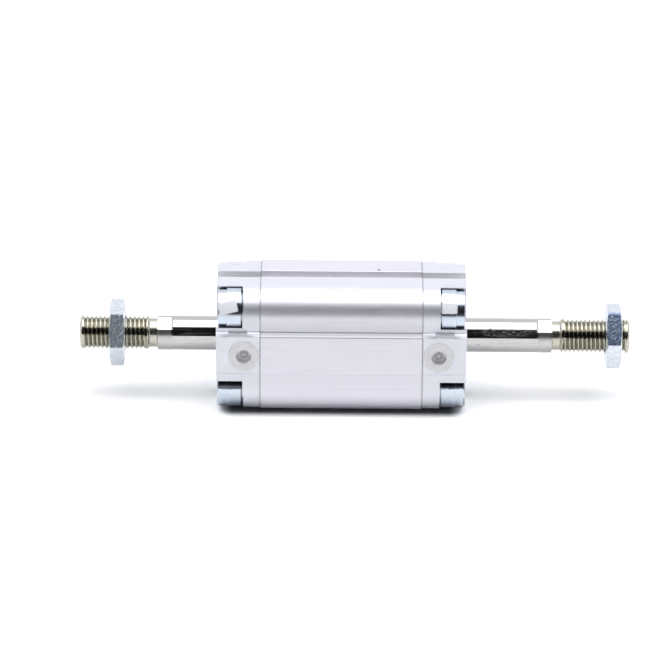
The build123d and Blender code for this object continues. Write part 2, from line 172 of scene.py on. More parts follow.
class Wire:
    """A shader value. Each operator on it adds one Math node."""

    def __init__(self, graph: "Graph", socket: bpy.types.NodeSocket) -> None:
        """Wrap a socket of a graph."""
        self.graph = graph
        self.socket = socket

    def maths(self, operation: str, *values: Value) -> "Wire":
        """Add a Math node.

        Args:
            operation: The node's operation.
            values: What its inputs take, in order.

        Returns:
            Its result.
        """
        inputs = dict(enumerate(values))
        return self.graph.add("ShaderNodeMath", {"operation": operation}, inputs)

    __add__ = operator("ADD")
    __radd__ = operator("ADD", swapped=True)
    __sub__ = operator("SUBTRACT")
    __rsub__ = operator("SUBTRACT", swapped=True)
    __mul__ = operator("MULTIPLY")
    __rmul__ = operator("MULTIPLY", swapped=True)
    __truediv__ = operator("DIVIDE")

    def __neg__(self) -> "Wire":
        """The value with its sign turned."""
        return self.maths("MULTIPLY", self, -1.0)

    def __abs__(self) -> "Wire":
        """The value without its sign."""
        return self.maths("ABSOLUTE", self)

    def rising(self, low: float, high: float) -> "Wire":
        """0 up to low, 1 from high, and smooth between them."""
        return self.between(low, high, 0.0, 1.0)

    def falling(self, low: float, high: float) -> "Wire":
        """1 up to low, 0 from high, and smooth between them."""
        return self.between(low, high, 1.0, 0.0)

    def between(self, low: float, high: float, first: float, last: float) -> "Wire":
        """Go smoothly from one result to another.

        Args:
            low: The value up to which the result is first.
            high: The value from which the result is last.
            first: The result at low.
            last: The result at high.

        Returns:
            The result.
        """
        inputs = {"Value": self, "From Min": low, "From Max": high, "To Min": first, "To Max": last}
        return self.graph.add("ShaderNodeMapRange", {"interpolation_type": "SMOOTHSTEP"}, inputs)


class Graph:
    """The node tree of one material or world."""

    def __init__(self, owner: Union[bpy.types.Material, bpy.types.World]) -> None:
        """Empty the owner's node tree.

        Args:
            owner: The material or world.
        """
        owner.use_nodes = True
        self.tree = owner.node_tree
        self.tree.nodes.clear()

    def add(
        self,
        kind: str,
        settings: Optional[dict[str, Any]] = None,
        inputs: Optional[dict[Union[int, str], Value]] = None,
        output: Union[int, str] = 0,
    ) -> Wire:
        """Add a node.

        Args:
            kind: The node's type.
            settings: Properties of the node, set first.
            inputs: Values or wires by the name or index of their input.
            output: The output that is returned.

        Returns:
            A wire from that output.
        """
        node = self.tree.nodes.new(kind)
        for name, value in (settings or {}).items():
            setattr(node, name, value)
        for key, value in (inputs or {}).items():
            self.feed(node.inputs[key], value)
        outputs = node.outputs
        return Wire(self, outputs[output]) if len(outputs) else Wire(self, node.inputs[0])

    def feed(self, socket: bpy.types.NodeSocket, value: Value) -> None:
        """Link a wire to an input, or set the input's own value.

        Args:
            socket: The input.
            value: The wire, number or colour that it takes.
        """
        if isinstance(value, Wire):
            self.tree.links.new(value.socket, socket)
        elif isinstance(value, tuple) and socket.type == "RGBA":
            socket.default_value = (*value, 1.0)
        else:
            socket.default_value = value

    def place(self) -> Wire:
        """The surface point in the part's own frame, in millimetres."""
        metres = self.add("ShaderNodeTexCoord", output="Object")
        return self.scaled(metres, (1 / MM, 1 / MM, 1 / MM))

    def scaled(self, vector: Wire, factors: Colour) -> Wire:
        """A vector times one factor for each axis."""
        return self.add("ShaderNodeVectorMath", {"operation": "MULTIPLY"}, {0: vector, 1: factors})

    def distance(self, vector: Wire, point: Colour) -> Wire:
        """How far a vector is from a point."""
        inputs = {0: vector, 1: point}
        return self.add("ShaderNodeVectorMath", {"operation": "DISTANCE"}, inputs, "Value")

    def axes(self, vector: Wire) -> tuple[Wire, Wire, Wire]:
        """The three parts of a vector."""
        split = self.add("ShaderNodeSeparateXYZ", inputs={0: vector}).socket.node
        return tuple(Wire(self, output) for output in split.outputs)

    def vector(self, x: Value, y: Value, z: Value) -> Wire:
        """A vector from its three parts."""
        return self.add("ShaderNodeCombineXYZ", inputs={0: x, 1: y, 2: z})

    def length(self, x: Value, y: Value, z: Value) -> Wire:
        """The length of the vector with these three parts."""
        return self.distance(self.vector(x, y, z), ORIGIN)

    def rays(self, *kinds: str) -> tuple[Wire, ...]:
        """1 for the rays of each kind, such as Camera or Glossy, and 0 for all others."""
        path = self.add("ShaderNodeLightPath").socket.node.outputs
        return tuple(Wire(self, path[f"Is {kind} Ray"]) for kind in kinds)

    def noise(
        self,
        vector: Wire,
        scale: Union[float, Colour],
        detail: float = 2.0,
        rough: float = 0.5,
    ) -> Wire:
        """Soft noise about 0.5.

        Args:
            vector: The surface point.
            scale: Waves to the vector's unit, as one number or one for each axis.
            detail: How many finer layers lie on it.
            rough: How strong each layer is beside the one before it.

        Returns:
            The noise there.
        """
        if isinstance(scale, tuple):
            vector, scale = self.scaled(vector, scale), 1.0
        inputs = {"Vector": vector, "Scale": scale, "Detail": detail, "Roughness": rough}
        return self.add("ShaderNodeTexNoise", inputs=inputs)

    def cells(self, vector: Wire, scale: float) -> Wire:
        """The distance to the nearest of many scattered points."""
        return self.add("ShaderNodeTexVoronoi", inputs={"Vector": vector, "Scale": scale})

    def mix(self, share: Value, first: Value, second: Value) -> Wire:
        """A colour between two colours."""
        inputs = {0: share, 6: first, 7: second}
        return self.add("ShaderNodeMix", {"data_type": "RGBA"}, inputs, 2)

    def layered(self, colour: Value, *layers: tuple[Value, Colour]) -> Value:
        """Lay colours over a colour.

        Args:
            colour: The colour underneath.
            layers: The share from 0 to 1 and the colour of each layer, in order.

        Returns:
            The colour on top.
        """
        for share, tone in layers:
            colour = self.mix(share, colour, tone)
        return colour

    def relief(self, height: Wire, depth: float) -> Wire:
        """A normal bent by a height from 0 to 1, where 1 stands depth millimetres high."""
        return self.add("ShaderNodeBump", inputs={"Height": height, "Distance": depth * MM})


@dataclass
class Surface:
    """What a finish gives to the shader at each point.

    Args:
        colour: The base colour.
        roughness: The roughness.
        metallic: How much of it mirrors as bare metal does, from 0 to 1.
        normal: The bent normal, where there is one.
        constants: Other inputs of the shader, by their names.
    """

    colour: Value
    roughness: Value
    metallic: Value = 0.0
    normal: Optional[Wire] = None
    constants: dict[str, Any] = field(default_factory=dict)


@dataclass(frozen=True)
class Speck:
    """A small spot of dirt or a nick.

    Args:
        place: Its middle, in millimetres.
        radius: Its radius, in millimetres.
        tone: Its colour.
    """

    place: Colour
    radius: float
    tone: Colour = (0.03, 0.03, 0.035)


@dataclass(frozen=True)
class Scuff:
    """A patch of fine rubbed lines along X.

    Args:
        place: Its middle, in millimetres.
        reach: How far it goes along each axis, in millimetres.
        share: How strong it is, from 0 to 1.
    """

    place: Colour
    reach: Colour
    share: float = 0.6

    def mask(self, graph: Graph, place: Wire) -> Wire:
        """How much of the surface is rubbed, inside the ellipsoid that the reach gives.

        Args:
            graph: The material's graph.
            place: The surface point, in millimetres.

        Returns:
            The share, from 0 to 1.
        """
        parts = zip(graph.axes(place), self.place, self.reach)
        x, y, z = ((axis - centre) / reach for axis, centre, reach in parts)
        inside = graph.length(x, y, z).falling(0.4, 1.0)
        lines = graph.noise(place, (0.7, 6.0, 6.0), detail=3.0, rough=0.7)
        return inside * lines.rising(0.48, 0.62) * self.share


@dataclass(frozen=True)
class Finish:
    """A material made of procedural nodes.

    Args:
        name: The material's name.
        tone: Its mean colour, linear.
        roughness: Its mean roughness.
        specks: Spots of dirt on it.
    """

    name: str
    tone: Colour
    roughness: float
    specks: tuple[Speck, ...] = ()

    def shade(self, graph: Graph, place: Wire) -> Surface:
        """Work the surface out.

        Args:
            graph: The material's graph.
            place: The surface point, in millimetres.

        Returns:
            The surface there.
        """
        raise NotImplementedError

    def material(self) -> bpy.types.Material:
        """Make the finish's material, or find the one made before.

        Returns:
            The material, which all pieces in this finish share.
        """
        known = bpy.data.materials.get(self.name)
        if known:
            return known
        material = bpy.data.materials.new(self.name)
        graph = Graph(material)
        place = graph.place()
        surface = self.shade(graph, place)
        for speck in self.specks:
            spot = graph.distance(place, speck.place).falling(speck.radius * 0.5, speck.radius)
            surface.colour = graph.mix(spot, surface.colour, speck.tone)
        inputs = {
            "Base Color": surface.colour,
            "Roughness": surface.roughness,
            "Metallic": surface.metallic,
            **surface.constants,
        }
        if surface.normal:
            inputs["Normal"] = surface.normal
        shader = graph.add("ShaderNodeBsdfPrincipled", inputs=inputs)
        graph.add("ShaderNodeOutputMaterial", inputs={"Surface": shader})
        return material

    def shades(self, graph: Graph, value: Wire, spread: float) -> Wire:
        """The tone made lighter and darker by a value about 0.5.

        Args:
            graph: The material's graph.
            value: What makes it lighter where it is high.
            spread: The share of the tone that this adds or takes at most.

        Returns:
            The colour.
        """
        low = tuple(part * (1 - spread) for part in self.tone)
        high = tuple(min(1.0, part * (1 + spread)) for part in self.tone)
        return graph.mix(value.rising(0.3, 0.7), low, high)


@dataclass(frozen=True)
class Anodised(Finish):
    """Satin anodised aluminium: drawn lines along X on the barrel, cast grain on the caps.

    Args:
        drawn: How strong the drawn lines are, from 0 to 1.
        grain: The height of the grain, in millimetres.
        metallic: How much of it mirrors as bare metal does, from 0 to 1.
        joints: Where along X dirt has gathered, in millimetres.
        scuffs: Patches that are rubbed.
        bevel: Where the bevel above the port strip starts and ends along Z, in millimetres.
        shaded: How much painted shade darkens that bevel, from 0 to 1.
        front: Where the front face lies along Y, in millimetres.
        pockets: Where along X the screw pockets with painted shade on their walls start and end, in
            millimetres.
        slot: Half the inner width, the floor and the mouth of the upper slot, in millimetres.
    """

    JOINT_DIRT: ClassVar[Colour] = (0.16, 0.16, 0.18)
    RUBBED: ClassVar[Colour] = (0.34, 0.35, 0.4)
    BEVEL_SHADE: ClassVar[Colour] = (0.45, 0.45, 0.5)
    FOOT_SHADE: ClassVar[Colour] = (0.2, 0.2, 0.23)
    SLOT_LIGHT: ClassVar[Colour] = (0.95, 0.94, 0.92)
    PIT_SHADE: ClassVar[Colour] = (0.3, 0.3, 0.33)
    SKIN: ClassVar[float] = 0.7
    CORE: ClassVar[float] = 7.0

    drawn: float = 1.0
    grain: float = 0.004
    metallic: float = 0.85
    joints: tuple[float, ...] = ()
    scuffs: tuple[Scuff, ...] = ()
    bevel: tuple[float, float] = (5.85, 7.1)
    shaded: float = 0.3
    front: float = -18.5
    pockets: tuple[float, float] = (0.0, 0.0)
    slot: Colour = (3.3, 13.4, 18.3)

    def shade(self, graph: Graph, place: Wire) -> Surface:
        """Drawn lines and cast grain, under joint dirt, rubbed patches, painted shade and light.

        Args:
            graph: The material's graph.
            place: The surface point, in millimetres.

        Returns:
            The surface there.
        """
        x, y, z = graph.axes(place)
        lines = graph.noise(place, (0.03, 2.2, 2.2), detail=4.0, rough=0.65)
        fine = graph.noise(place, (0.12, 9.0, 9.0))
        cloud = graph.noise(place, 0.11, detail=3.0)
        grain = graph.noise(place, 5.5, detail=3.0, rough=0.7)
        smudge = graph.noise(place, 0.35).rising(0.52, 0.72)
        uneven = graph.noise(place, 0.9) * 0.25
        pits = graph.cells(place, 0.55).falling(0.03, 0.09)
        drawn = lines * self.drawn + grain * (1 - self.drawn)
        low, high = self.bevel
        ahead = y.falling(self.front, self.front + 0.3)
        # Painted shade: the bevel above the port strip is darkened, with a thin dark line along its
        # middle and another where it meets the front face.
        band = z.rising(low - 0.1, low + 0.1) * z.falling(high, high + 0.2) * ahead
        middle_line = abs(z - (low + high) / 2).falling(0.08, 0.2) * ahead
        foot_line = abs(z - high - 0.1).falling(0.08, 0.22) * ahead
        # Painted light: the walls and floor of the upper slot are made lighter and more neutral in
        # colour.
        wall, floor, mouth = self.slot
        slot = abs(y).falling(wall, wall + 0.3) * z.rising(floor, floor + 0.4)
        slot = slot * z.falling(mouth, mouth + 0.15)
        dirt = ((abs(x - joint) + uneven).falling(0.15, 0.45) * 0.55 for joint in self.joints)
        colour = graph.layered(
            self.shades(graph, drawn * 0.7 + cloud * 0.3, 0.035),
            *((near, self.JOINT_DIRT) for near in dirt),
            *((scuff.mask(graph, place), self.RUBBED) for scuff in self.scuffs),
            (band * self.shaded + middle_line * 0.2, self.BEVEL_SHADE),
            (foot_line * 0.3, self.FOOT_SHADE),
            # Painted shade: the walls inside the screw pockets are darkened almost to black.
            (self.pocket(x, y, z) * 0.93, GRIME_AND_SHADE),
            (slot * 0.4, self.SLOT_LIGHT),
            (pits * 0.25, self.PIT_SHADE),
        )
        rough = drawn * 0.12 + fine * 0.06 + smudge * 0.05 + (self.roughness - 0.115)
        height = drawn * 0.5 + fine * 0.3 + grain * 0.2 - pits * 0.6
        return Surface(colour, rough, self.metallic, graph.relief(height, self.grain))

    def pocket(self, x: Wire, y: Wire, z: Wire) -> Wire:
        """How surely a point lies on the walls inside the screw pockets, behind the outer faces, where
        shade is painted.

        Args:
            x: The point's place along X, in millimetres.
            y: Its place along Y.
            z: Its place along Z.

        Returns:
            1 on those walls and 0 elsewhere.
        """
        start, end = self.pockets
        inside = x.rising(start, start + 0.3) * x.falling(end, end + 0.3)
        skin, core = abs(self.front) - self.SKIN, self.CORE
        for across in (abs(y), abs(z)):
            inside = inside * across.falling(skin, skin + 0.3) * across.rising(core, core + 0.3)
        return inside


@dataclass(frozen=True)
class Patch:
    """A dab of white paint on the front of a screw head.

    Args:
        x: Its middle along X, in millimetres.
        z: Its middle along Z, in millimetres.
        length: Its length, in millimetres.
        height: Its height, in millimetres.
        tilt: How far it is turned in the picture, in degrees.
    """

    BRUSHED: ClassVar[Colour] = (0.86, 0.9, 1.0)
    THICK: ClassVar[Colour] = (0.98, 0.99, 1.0)
    ROUGHNESS: ClassVar[float] = 0.4

    x: float
    z: float
    length: float
    height: float
    tilt: float

    def painted(
        self, graph: Graph, place: Wire, colour: Wire, rough: Wire
    ) -> tuple[Wire, Wire, Wire]:
        """Lay the paint over a surface.

        Args:
            graph: The material's graph.
            place: The surface point, in millimetres.
            colour: The surface's colour.
            rough: The surface's roughness.

        Returns:
            Where the paint lies, and the colour and roughness with it.
        """
        x, y, z = graph.axes(place)
        cos, sin = math.cos(math.radians(self.tilt)), math.sin(math.radians(self.tilt))
        along = (x - self.x) * cos + (z - self.z) * sin
        across = (z - self.z) * cos - (x - self.x) * sin
        ragged = graph.noise(place, 2.2) * 0.6 - 0.3
        inside = (abs(along) + ragged).falling(self.length / 2 - 0.15, self.length / 2 + 0.1)
        inside = inside * (abs(across) + ragged).falling(self.height / 2 - 0.1, self.height / 2 + 0.08)
        mask = inside * y.falling(-1.0, 0.0)
        lines = graph.noise(graph.vector(along * 0.25, across * 5.0, 0.0), 1.0, detail=3.0, rough=0.7)
        paint = graph.mix(lines.rising(0.35, 0.6), self.BRUSHED, self.THICK)
        return mask, graph.mix(mask, colour, paint), rough * (1 - mask) + mask * self.ROUGHNESS


@dataclass(frozen=True)
class Zinc(Finish):
    """Bright zinc plate, from smooth on a head to mottled on a rolled nut.

    Args:
        mottle: How mottled it is, from 0 to 1.
        dents: The depth of its unevenness, in millimetres.
        metallic: How much of it mirrors as bare metal does, from 0 to 1.
        stain_and_shade: The colour of the painted shade and bluish painted reflection on its front
            face.
        front_shade_share: How strong that painted colour is, from 0 to 1.
        facing: How far the front face looks up, in degrees.
        overhang_shade_from: The height along Z above which its front carries painted shade, in
            millimetres.
        patch: A dab of paint, where there is one.
    """

    DROPS: ClassVar[Colour] = (0.5, 0.42, 0.25)
    PIT_SHADE: ClassVar[Colour] = (0.06, 0.09, 0.16)
    OVERHANG_SHADE: ClassVar[Colour] = (0.02, 0.025, 0.04)
    FRONT: ClassVar[tuple[float, float]] = (8.2, 8.4)

    mottle: float = 0.2
    dents: float = 0.004
    metallic: float = 1.0
    stain_and_shade: Colour = (0.1, 0.2, 0.42)
    front_shade_share: float = 0.0
    facing: float = 0.0
    overhang_shade_from: Optional[float] = None
    patch: Optional[Patch] = None

    def shade(self, graph: Graph, place: Wire) -> Surface:
        """A mottled tone that is darkest on the front face, under painted shade and reflection, pits
        and paint.

        Args:
            graph: The material's graph.
            place: The surface point, in millimetres.

        Returns:
            The surface there.
        """
        broad = graph.noise(place, 0.9, detail=3.0, rough=0.6)
        small = graph.noise(place, 2.0, detail=4.0, rough=0.65)
        pits = graph.cells(place, 1.5).falling(0.15, 0.4)
        uneven = broad * 0.55 + small * 0.45
        low = tuple(part * (1 - drop * self.mottle) for part, drop in zip(self.tone, self.DROPS))
        _, y, z = graph.axes(place)
        turn = math.radians(self.facing)
        front = (z * math.sin(turn) - y * math.cos(turn)).rising(*self.FRONT)
        share = uneven.rising(0.4, 0.6) * (front * 0.5 + 0.5) + (1 - front) * 0.5
        # Painted shade and a bluish painted reflection lie over the front face.
        colour = graph.layered(
            graph.mix(share, low, self.tone),
            (front * self.front_shade_share, self.stain_and_shade),
            (pits * front * (0.2 * self.mottle), self.PIT_SHADE),
        )
        # Painted shade: above that height the front turns almost black, standing in for the shade and
        # dark reflection under the pocket's overhang.
        if self.overhang_shade_from is not None:
            overhang_shade_mask = (z + small * 1.6 - 0.8).rising(self.overhang_shade_from, self.overhang_shade_from + 0.2) * front
            colour = graph.mix(overhang_shade_mask * 0.85, colour, self.OVERHANG_SHADE)
        rough = uneven * (0.1 + 0.25 * self.mottle) + (self.roughness - 0.05 - 0.125 * self.mottle)
        height = (broad * 0.5 + small * 0.5 - pits * 0.35) * (front * 0.7 + 0.4)
        metallic = self.metallic
        if self.patch:
            mask, colour, rough = self.patch.painted(graph, place, colour, rough)
            height = height * (1 - mask) + mask * 2.0
            metallic = (1 - mask) * self.metallic
        return Surface(colour, rough, metallic, graph.relief(height, self.dents))


@dataclass(frozen=True)
class RodMetal(Finish):
    """Hard chrome on the shank and a warm cut steel at its threaded ends.

    Args:
        thread_tone: The colour of the threads.
        root_shade: The colour of the painted shade in their roots.
        thread_roughness: Their mean roughness.
        centre: The middle of the rod along X, in millimetres.
        shank: Half the length of the chromed shank, in millimetres.
        flat_length: The length of the flats beside its ends, in millimetres.
        flat_turn: The direction that one flat faces, in degrees.
        scuffs: Patches of the shank that are rubbed.
    """

    RUBBED: ClassVar[Colour] = (0.42, 0.41, 0.47)
    STEP_SHADE: ClassVar[Colour] = (0.05, 0.05, 0.05)
    UNDERCUT: ClassVar[tuple[float, float]] = (2.2, 2.6)
    ROOT: ClassVar[tuple[float, float]] = (4.18, 4.5)
    WORN: ClassVar[tuple[float, float]] = (5.0, 3.6)
    RELIEF: ClassVar[float] = 0.008

    thread_tone: Colour = (0.7, 0.68, 0.59)
    root_shade: Colour = (0.12, 0.11, 0.08)
    thread_roughness: float = 0.13
    centre: float = 0.0
    shank: float = 1.0
    flat_length: float = 1.0
    flat_turn: float = 0.0
    scuffs: tuple[Scuff, ...] = ()

    def shade(self, graph: Graph, place: Wire) -> Surface:
        """Chrome with haze and scratches on the shank, and cut metal with painted shade in the thread
        roots at its ends.

        Args:
            graph: The material's graph.
            place: The surface point, in millimetres.

        Returns:
            The surface there.
        """
        x, y, z = graph.axes(place)
        out = abs(x - self.centre)
        ends = out.rising(self.shank - 0.3, self.shank)
        threaded = out.rising(*(self.shank + past for past in self.UNDERCUT))
        worn = out.rising(*(self.shank - short for short in self.WORN))
        step = abs(out - (self.shank - self.flat_length)).falling(0.06, 0.2)
        root = graph.length(0.0, y, z).falling(*self.ROOT) * threaded
        turn = math.radians(self.flat_turn)
        on_flat = (y * math.cos(turn) + z * math.sin(turn)).rising(4.3, 4.5)
        rings = graph.noise(place, (7.0, 0.25, 0.25), detail=3.0, rough=0.6)
        scratches = graph.noise(place, (0.15, 6.0, 6.0))
        streaks = graph.noise(place, (0.1, 2.4, 2.4), detail=4.0, rough=0.7).rising(0.5, 0.72)
        haze = graph.noise(place, 0.3)
        grit = graph.noise(place, 3.2, detail=4.0, rough=0.7)
        dull = streaks * graph.noise(place, 0.16, detail=1.0).rising(0.42, 0.6) * 0.2 + worn * 0.26
        rubbed = streaks * 0.3
        for scuff in self.scuffs:
            rubbed = rubbed.maths("MAXIMUM", rubbed, scuff.mask(graph, place))
        rubbed = rubbed * (1 - ends)
        chrome = self.shades(graph, haze * 0.6 + rings * 0.4, 0.03)
        cut_low = tuple(part * 0.72 for part in self.thread_tone)
        cut = graph.mix(grit.rising(0.3, 0.68), cut_low, self.thread_tone)
        # Painted shade darkens the roots of the threads.
        cut = graph.mix(root * 0.7, cut, self.root_shade)
        colour = graph.layered(
            graph.mix(ends, chrome, cut),
            (rubbed, self.RUBBED),
            # Painted shade: a dark line at the inner end of each flat.
            (step * on_flat * 0.75, self.STEP_SHADE),
        )
        polish = scratches.rising(0.6, 0.78) * 0.12 + dull + (self.roughness - 0.02)
        matt = grit * 0.1 + (1 - threaded) * 0.12 + (self.thread_roughness - 0.05)
        rough = polish * (1 - ends) + matt * ends
        height = rings * 0.06 + scratches * 0.05 + ends * grit * 0.4
        return Surface(colour, rough, 1 - rubbed * 0.7, graph.relief(height, self.RELIEF))


@dataclass(frozen=True)
class Turned(Finish):
    """A machined metal with fine turning rings about X.

    Args:
        rings: Waves of the turning marks to the millimetre.
    """

    rings: float = 6.0

    def shade(self, graph: Graph, place: Wire) -> Surface:
        """Turning rings and stains, which make the tone lighter and darker.

        Args:
            graph: The material's graph.
            place: The surface point, in millimetres.

        Returns:
            The surface there.
        """
        marks = graph.noise(place, (self.rings, 0.3, 0.3), detail=3.0, rough=0.6)
        stain_and_shade = graph.noise(place, 0.6, detail=3.0)
        colour = self.shades(graph, marks * 0.4 + stain_and_shade * 0.6, 0.09)
        rough = marks * 0.12 + stain_and_shade * 0.1 + (self.roughness - 0.11)
        return Surface(colour, rough, 1.0, graph.relief(marks, 0.004))


@dataclass(frozen=True)
class Moulded(Finish):
    """Moulded plastic or rubber with a fine skin.

    Args:
        skin: The height of the skin's grain, in millimetres.
        glow: How much light goes into it, from 0 to 1.
    """

    DUST: ClassVar[Colour] = (0.5, 0.49, 0.47)
    GLOW_DEPTH: ClassVar[float] = 0.8

    skin: float = 0.01
    glow: float = 0.0

    def shade(self, graph: Graph, place: Wire) -> Surface:
        """A cloudy tone with fine grain and a little dust.

        Args:
            graph: The material's graph.
            place: The surface point, in millimetres.

        Returns:
            The surface there.
        """
        cloud = graph.noise(place, 0.5)
        grain = graph.noise(place, 4.0, detail=3.0, rough=0.6)
        dust = graph.noise(place, 1.4, detail=4.0, rough=0.7).rising(0.62, 0.8)
        colour = self.shades(graph, cloud * 0.7 + grain * 0.3, 0.06)
        colour = graph.mix(dust * 0.2, colour, self.DUST)
        rough = grain * 0.14 + dust * 0.1 + (self.roughness - 0.08)
        constants = {
            "Subsurface Weight": self.glow,
            "Subsurface Scale": self.GLOW_DEPTH * MM,
            "Subsurface Radius": WHITE,
        }
        return Surface(colour, rough, 0.0, graph.relief(grain, self.skin), constants)


@dataclass(frozen=True)
class Thread:
    """A screw thread.

    Args:
        pitch: How far one turn advances, in millimetres.
        depth: How deep it is cut, in millimetres.
        steps: How many rows of the surface carry one turn.
    """

    CREST: ClassVar[float] = 0.125

    pitch: float
    depth: float
    steps: int = 10

    def groove(self, along: np.ndarray, angle: np.ndarray) -> np.ndarray:
        """How deep a right hand thread is cut, from 0 on its crest to 1 at its root.

        With turns = along / pitch - angle / full turn and f its fraction, the flank height is
        |2 f - 1| from 0 to 1, and the outer eighth at each end is the flat crest and root.

        Args:
            along: The distances along the axis, in millimetres.
            angle: The angles about it.

        Returns:
            The depth at each of them.
        """
        turns = along / self.pitch - angle / TURN
        flank = np.abs(2 * (turns % 1.0) - 1)
        return np.clip((flank - self.CREST) / (1 - 2 * self.CREST), 0, 1)


@dataclass(frozen=True)
class Corner:
    """A corner of a turned outline.

    Args:
        along: Its distance along the axis, in millimetres.
        radius: Its radius, or half the width across flats, in millimetres.
        ease: How far the rounding of the corner reaches, in millimetres.
        hexagon: 1 on a hexagon, 0 on a circle.
        thread: 1 where the stretch that follows has grooves cut outwards, -1 inwards.
    """

    along: float
    radius: float
    ease: float = 0.0
    hexagon: float = 0.0
    thread: float = 0.0

    @property
    def row(self) -> np.ndarray:
        """The corner as a row: distance, radius, hexagon and thread."""
        return np.array((self.along, self.radius, self.hexagon, 0.0))


@dataclass(frozen=True)
class Axis:
    """A turned piece's axis.

    Args:
        start: The point on it from which distances count, in millimetres.
        across: The direction across it at which angles start.
        up: The direction across it a quarter turn further, which fixes the axis's own.
    """

    start: Colour
    across: Colour
    up: Colour

    @classmethod
    def along_x(cls, start: Colour, way: float = 1.0) -> "Axis":
        """An axis along +X, or along -X where way is -1."""
        return cls(start, (0.0, 1.0, 0.0), (0.0, 0.0, way))

    def points(self, along: np.ndarray, radius: np.ndarray, angle: np.ndarray) -> np.ndarray:
        """Place the points of a surface.

        Args:
            along: Their distances along the axis, in millimetres.
            radius: Their distances from it.
            angle: Their angles about it.

        Returns:
            The points, as rows by columns by 3.
        """
        across, up = np.array(self.across), np.array(self.up)
        way = np.cross(across, up)
        ring = np.cos(angle)[..., None] * across + np.sin(angle)[..., None] * up
        return np.array(self.start) + along[..., None] * way + radius[..., None] * ring


@dataclass(frozen=True)
class Outline:
    """A turned shape, from its corners.

    Args:
        corners: The corners in order, with the last joined to the first where closed is set.
        thread: The thread on its threaded stretches.
        closed: Whether the outline closes on itself, as a ring's does.
        columns: How many points go round it, a multiple of 6.
        turn: The turn of its hexagon, in degrees.
    """

    corners: tuple[Corner, ...]
    thread: Thread = Thread(1.0, 0.0)
    closed: bool = True
    columns: int = 96
    turn: float = 0.0

    def rows(self) -> np.ndarray:
        """Every row of the surface: distance, radius, hexagon and thread."""
        return np.array(list(self._rows()))

    def _rows(self) -> Iterator[np.ndarray]:
        """Go through the corners, along a curve at each eased one and in steps where thread is.

        Returns:
            The rows in order.
        """
        last = len(self.corners) - 1
        for index, corner in enumerate(self.corners):
            here = corner.row
            before = self.corners[index - 1].row
            following = self.corners[(index + 1) % len(self.corners)]
            at_end = not self.closed and index in (0, last)
            start = here if at_end else self._toward(here, before, corner.ease)
            finish = here if at_end else self._toward(here, following.row, corner.ease)
            for share in np.linspace(0, 1, ARC_STEPS + 1 if corner.ease else 1):
                yield (1 - share) ** 2 * start + 2 * share * (1 - share) * here + share**2 * finish
            if corner.thread:
                reach = self._toward(following.row, here, following.ease)
                yield from self._threaded(finish, reach, corner.thread)

    def _toward(self, here: np.ndarray, there: np.ndarray, reach: float) -> np.ndarray:
        """Find the row that lies a short way towards another.

        Args:
            here: The row to start from.
            there: The row to go towards.
            reach: How far to go, in millimetres.

        Returns:
            The row there, or the one half way if that is nearer.
        """
        length = np.hypot(*(there - here)[:2])
        return here + (there - here) * min(0.5, reach / max(length, 1e-9))

    def _threaded(self, start: np.ndarray, finish: np.ndarray, way: float) -> Iterator[np.ndarray]:
        """Lay rows close enough to carry the thread, which fades out over a third of a turn.

        Args:
            start: The row before the stretch.
            finish: The row after it.
            way: 1 where grooves are cut outwards, -1 inwards.

        Returns:
            The rows between the two.
        """
        turns = abs(finish[0] - start[0]) / self.thread.pitch
        count = math.ceil(turns * self.thread.steps)
        for share in np.arange(1, count) / count:
            row = start + (finish - start) * share
            row[3] = way * min(1.0, 3 * share * turns, 3 * (1 - share) * turns)
            yield row

    def angles(self) -> np.ndarray:
        """The angles of the columns, with one on each corner of the hexagon."""
        return math.radians(self.turn) + np.arange(self.columns) * TURN / self.columns

    def from_flat(self, angle: np.ndarray) -> np.ndarray:
        """Each angle from the middle of the hexagon's nearest flat."""
        return (angle - math.radians(self.turn)) % SIXTH - SIXTH / 2

    def shape(self) -> tuple[np.ndarray, np.ndarray, np.ndarray]:
        """Work the surface's points out.

        On a hexagon with flats at distance h the radius is h / cos(a), where a is the angle
        from the nearest flat's middle. A thread adds or takes its depth times its groove.

        Returns:
            Distance, radius and angle of each point, as rows by columns.
        """
        rows = self.rows()
        angle = np.broadcast_to(self.angles(), (len(rows), self.columns))
        along, radius, hexagon, thread = (rows[:, i : i + 1] for i in range(4))
        along = np.broadcast_to(along, angle.shape)
        stretch = 1 + hexagon * (1 / np.cos(self.from_flat(angle)) - 1)
        cut = thread * self.thread.depth * self.thread.groove(along, angle)
        return along, radius * stretch + cut, angle

    def mesh(self, name: str, axis: Axis) -> bpy.types.Mesh:
        """Turn the outline about an axis.

        Args:
            name: The mesh's name.
            axis: The axis.

        Returns:
            The mesh, in metres.
        """
        return grid_mesh(name, axis.points(*self.shape()), self.closed)


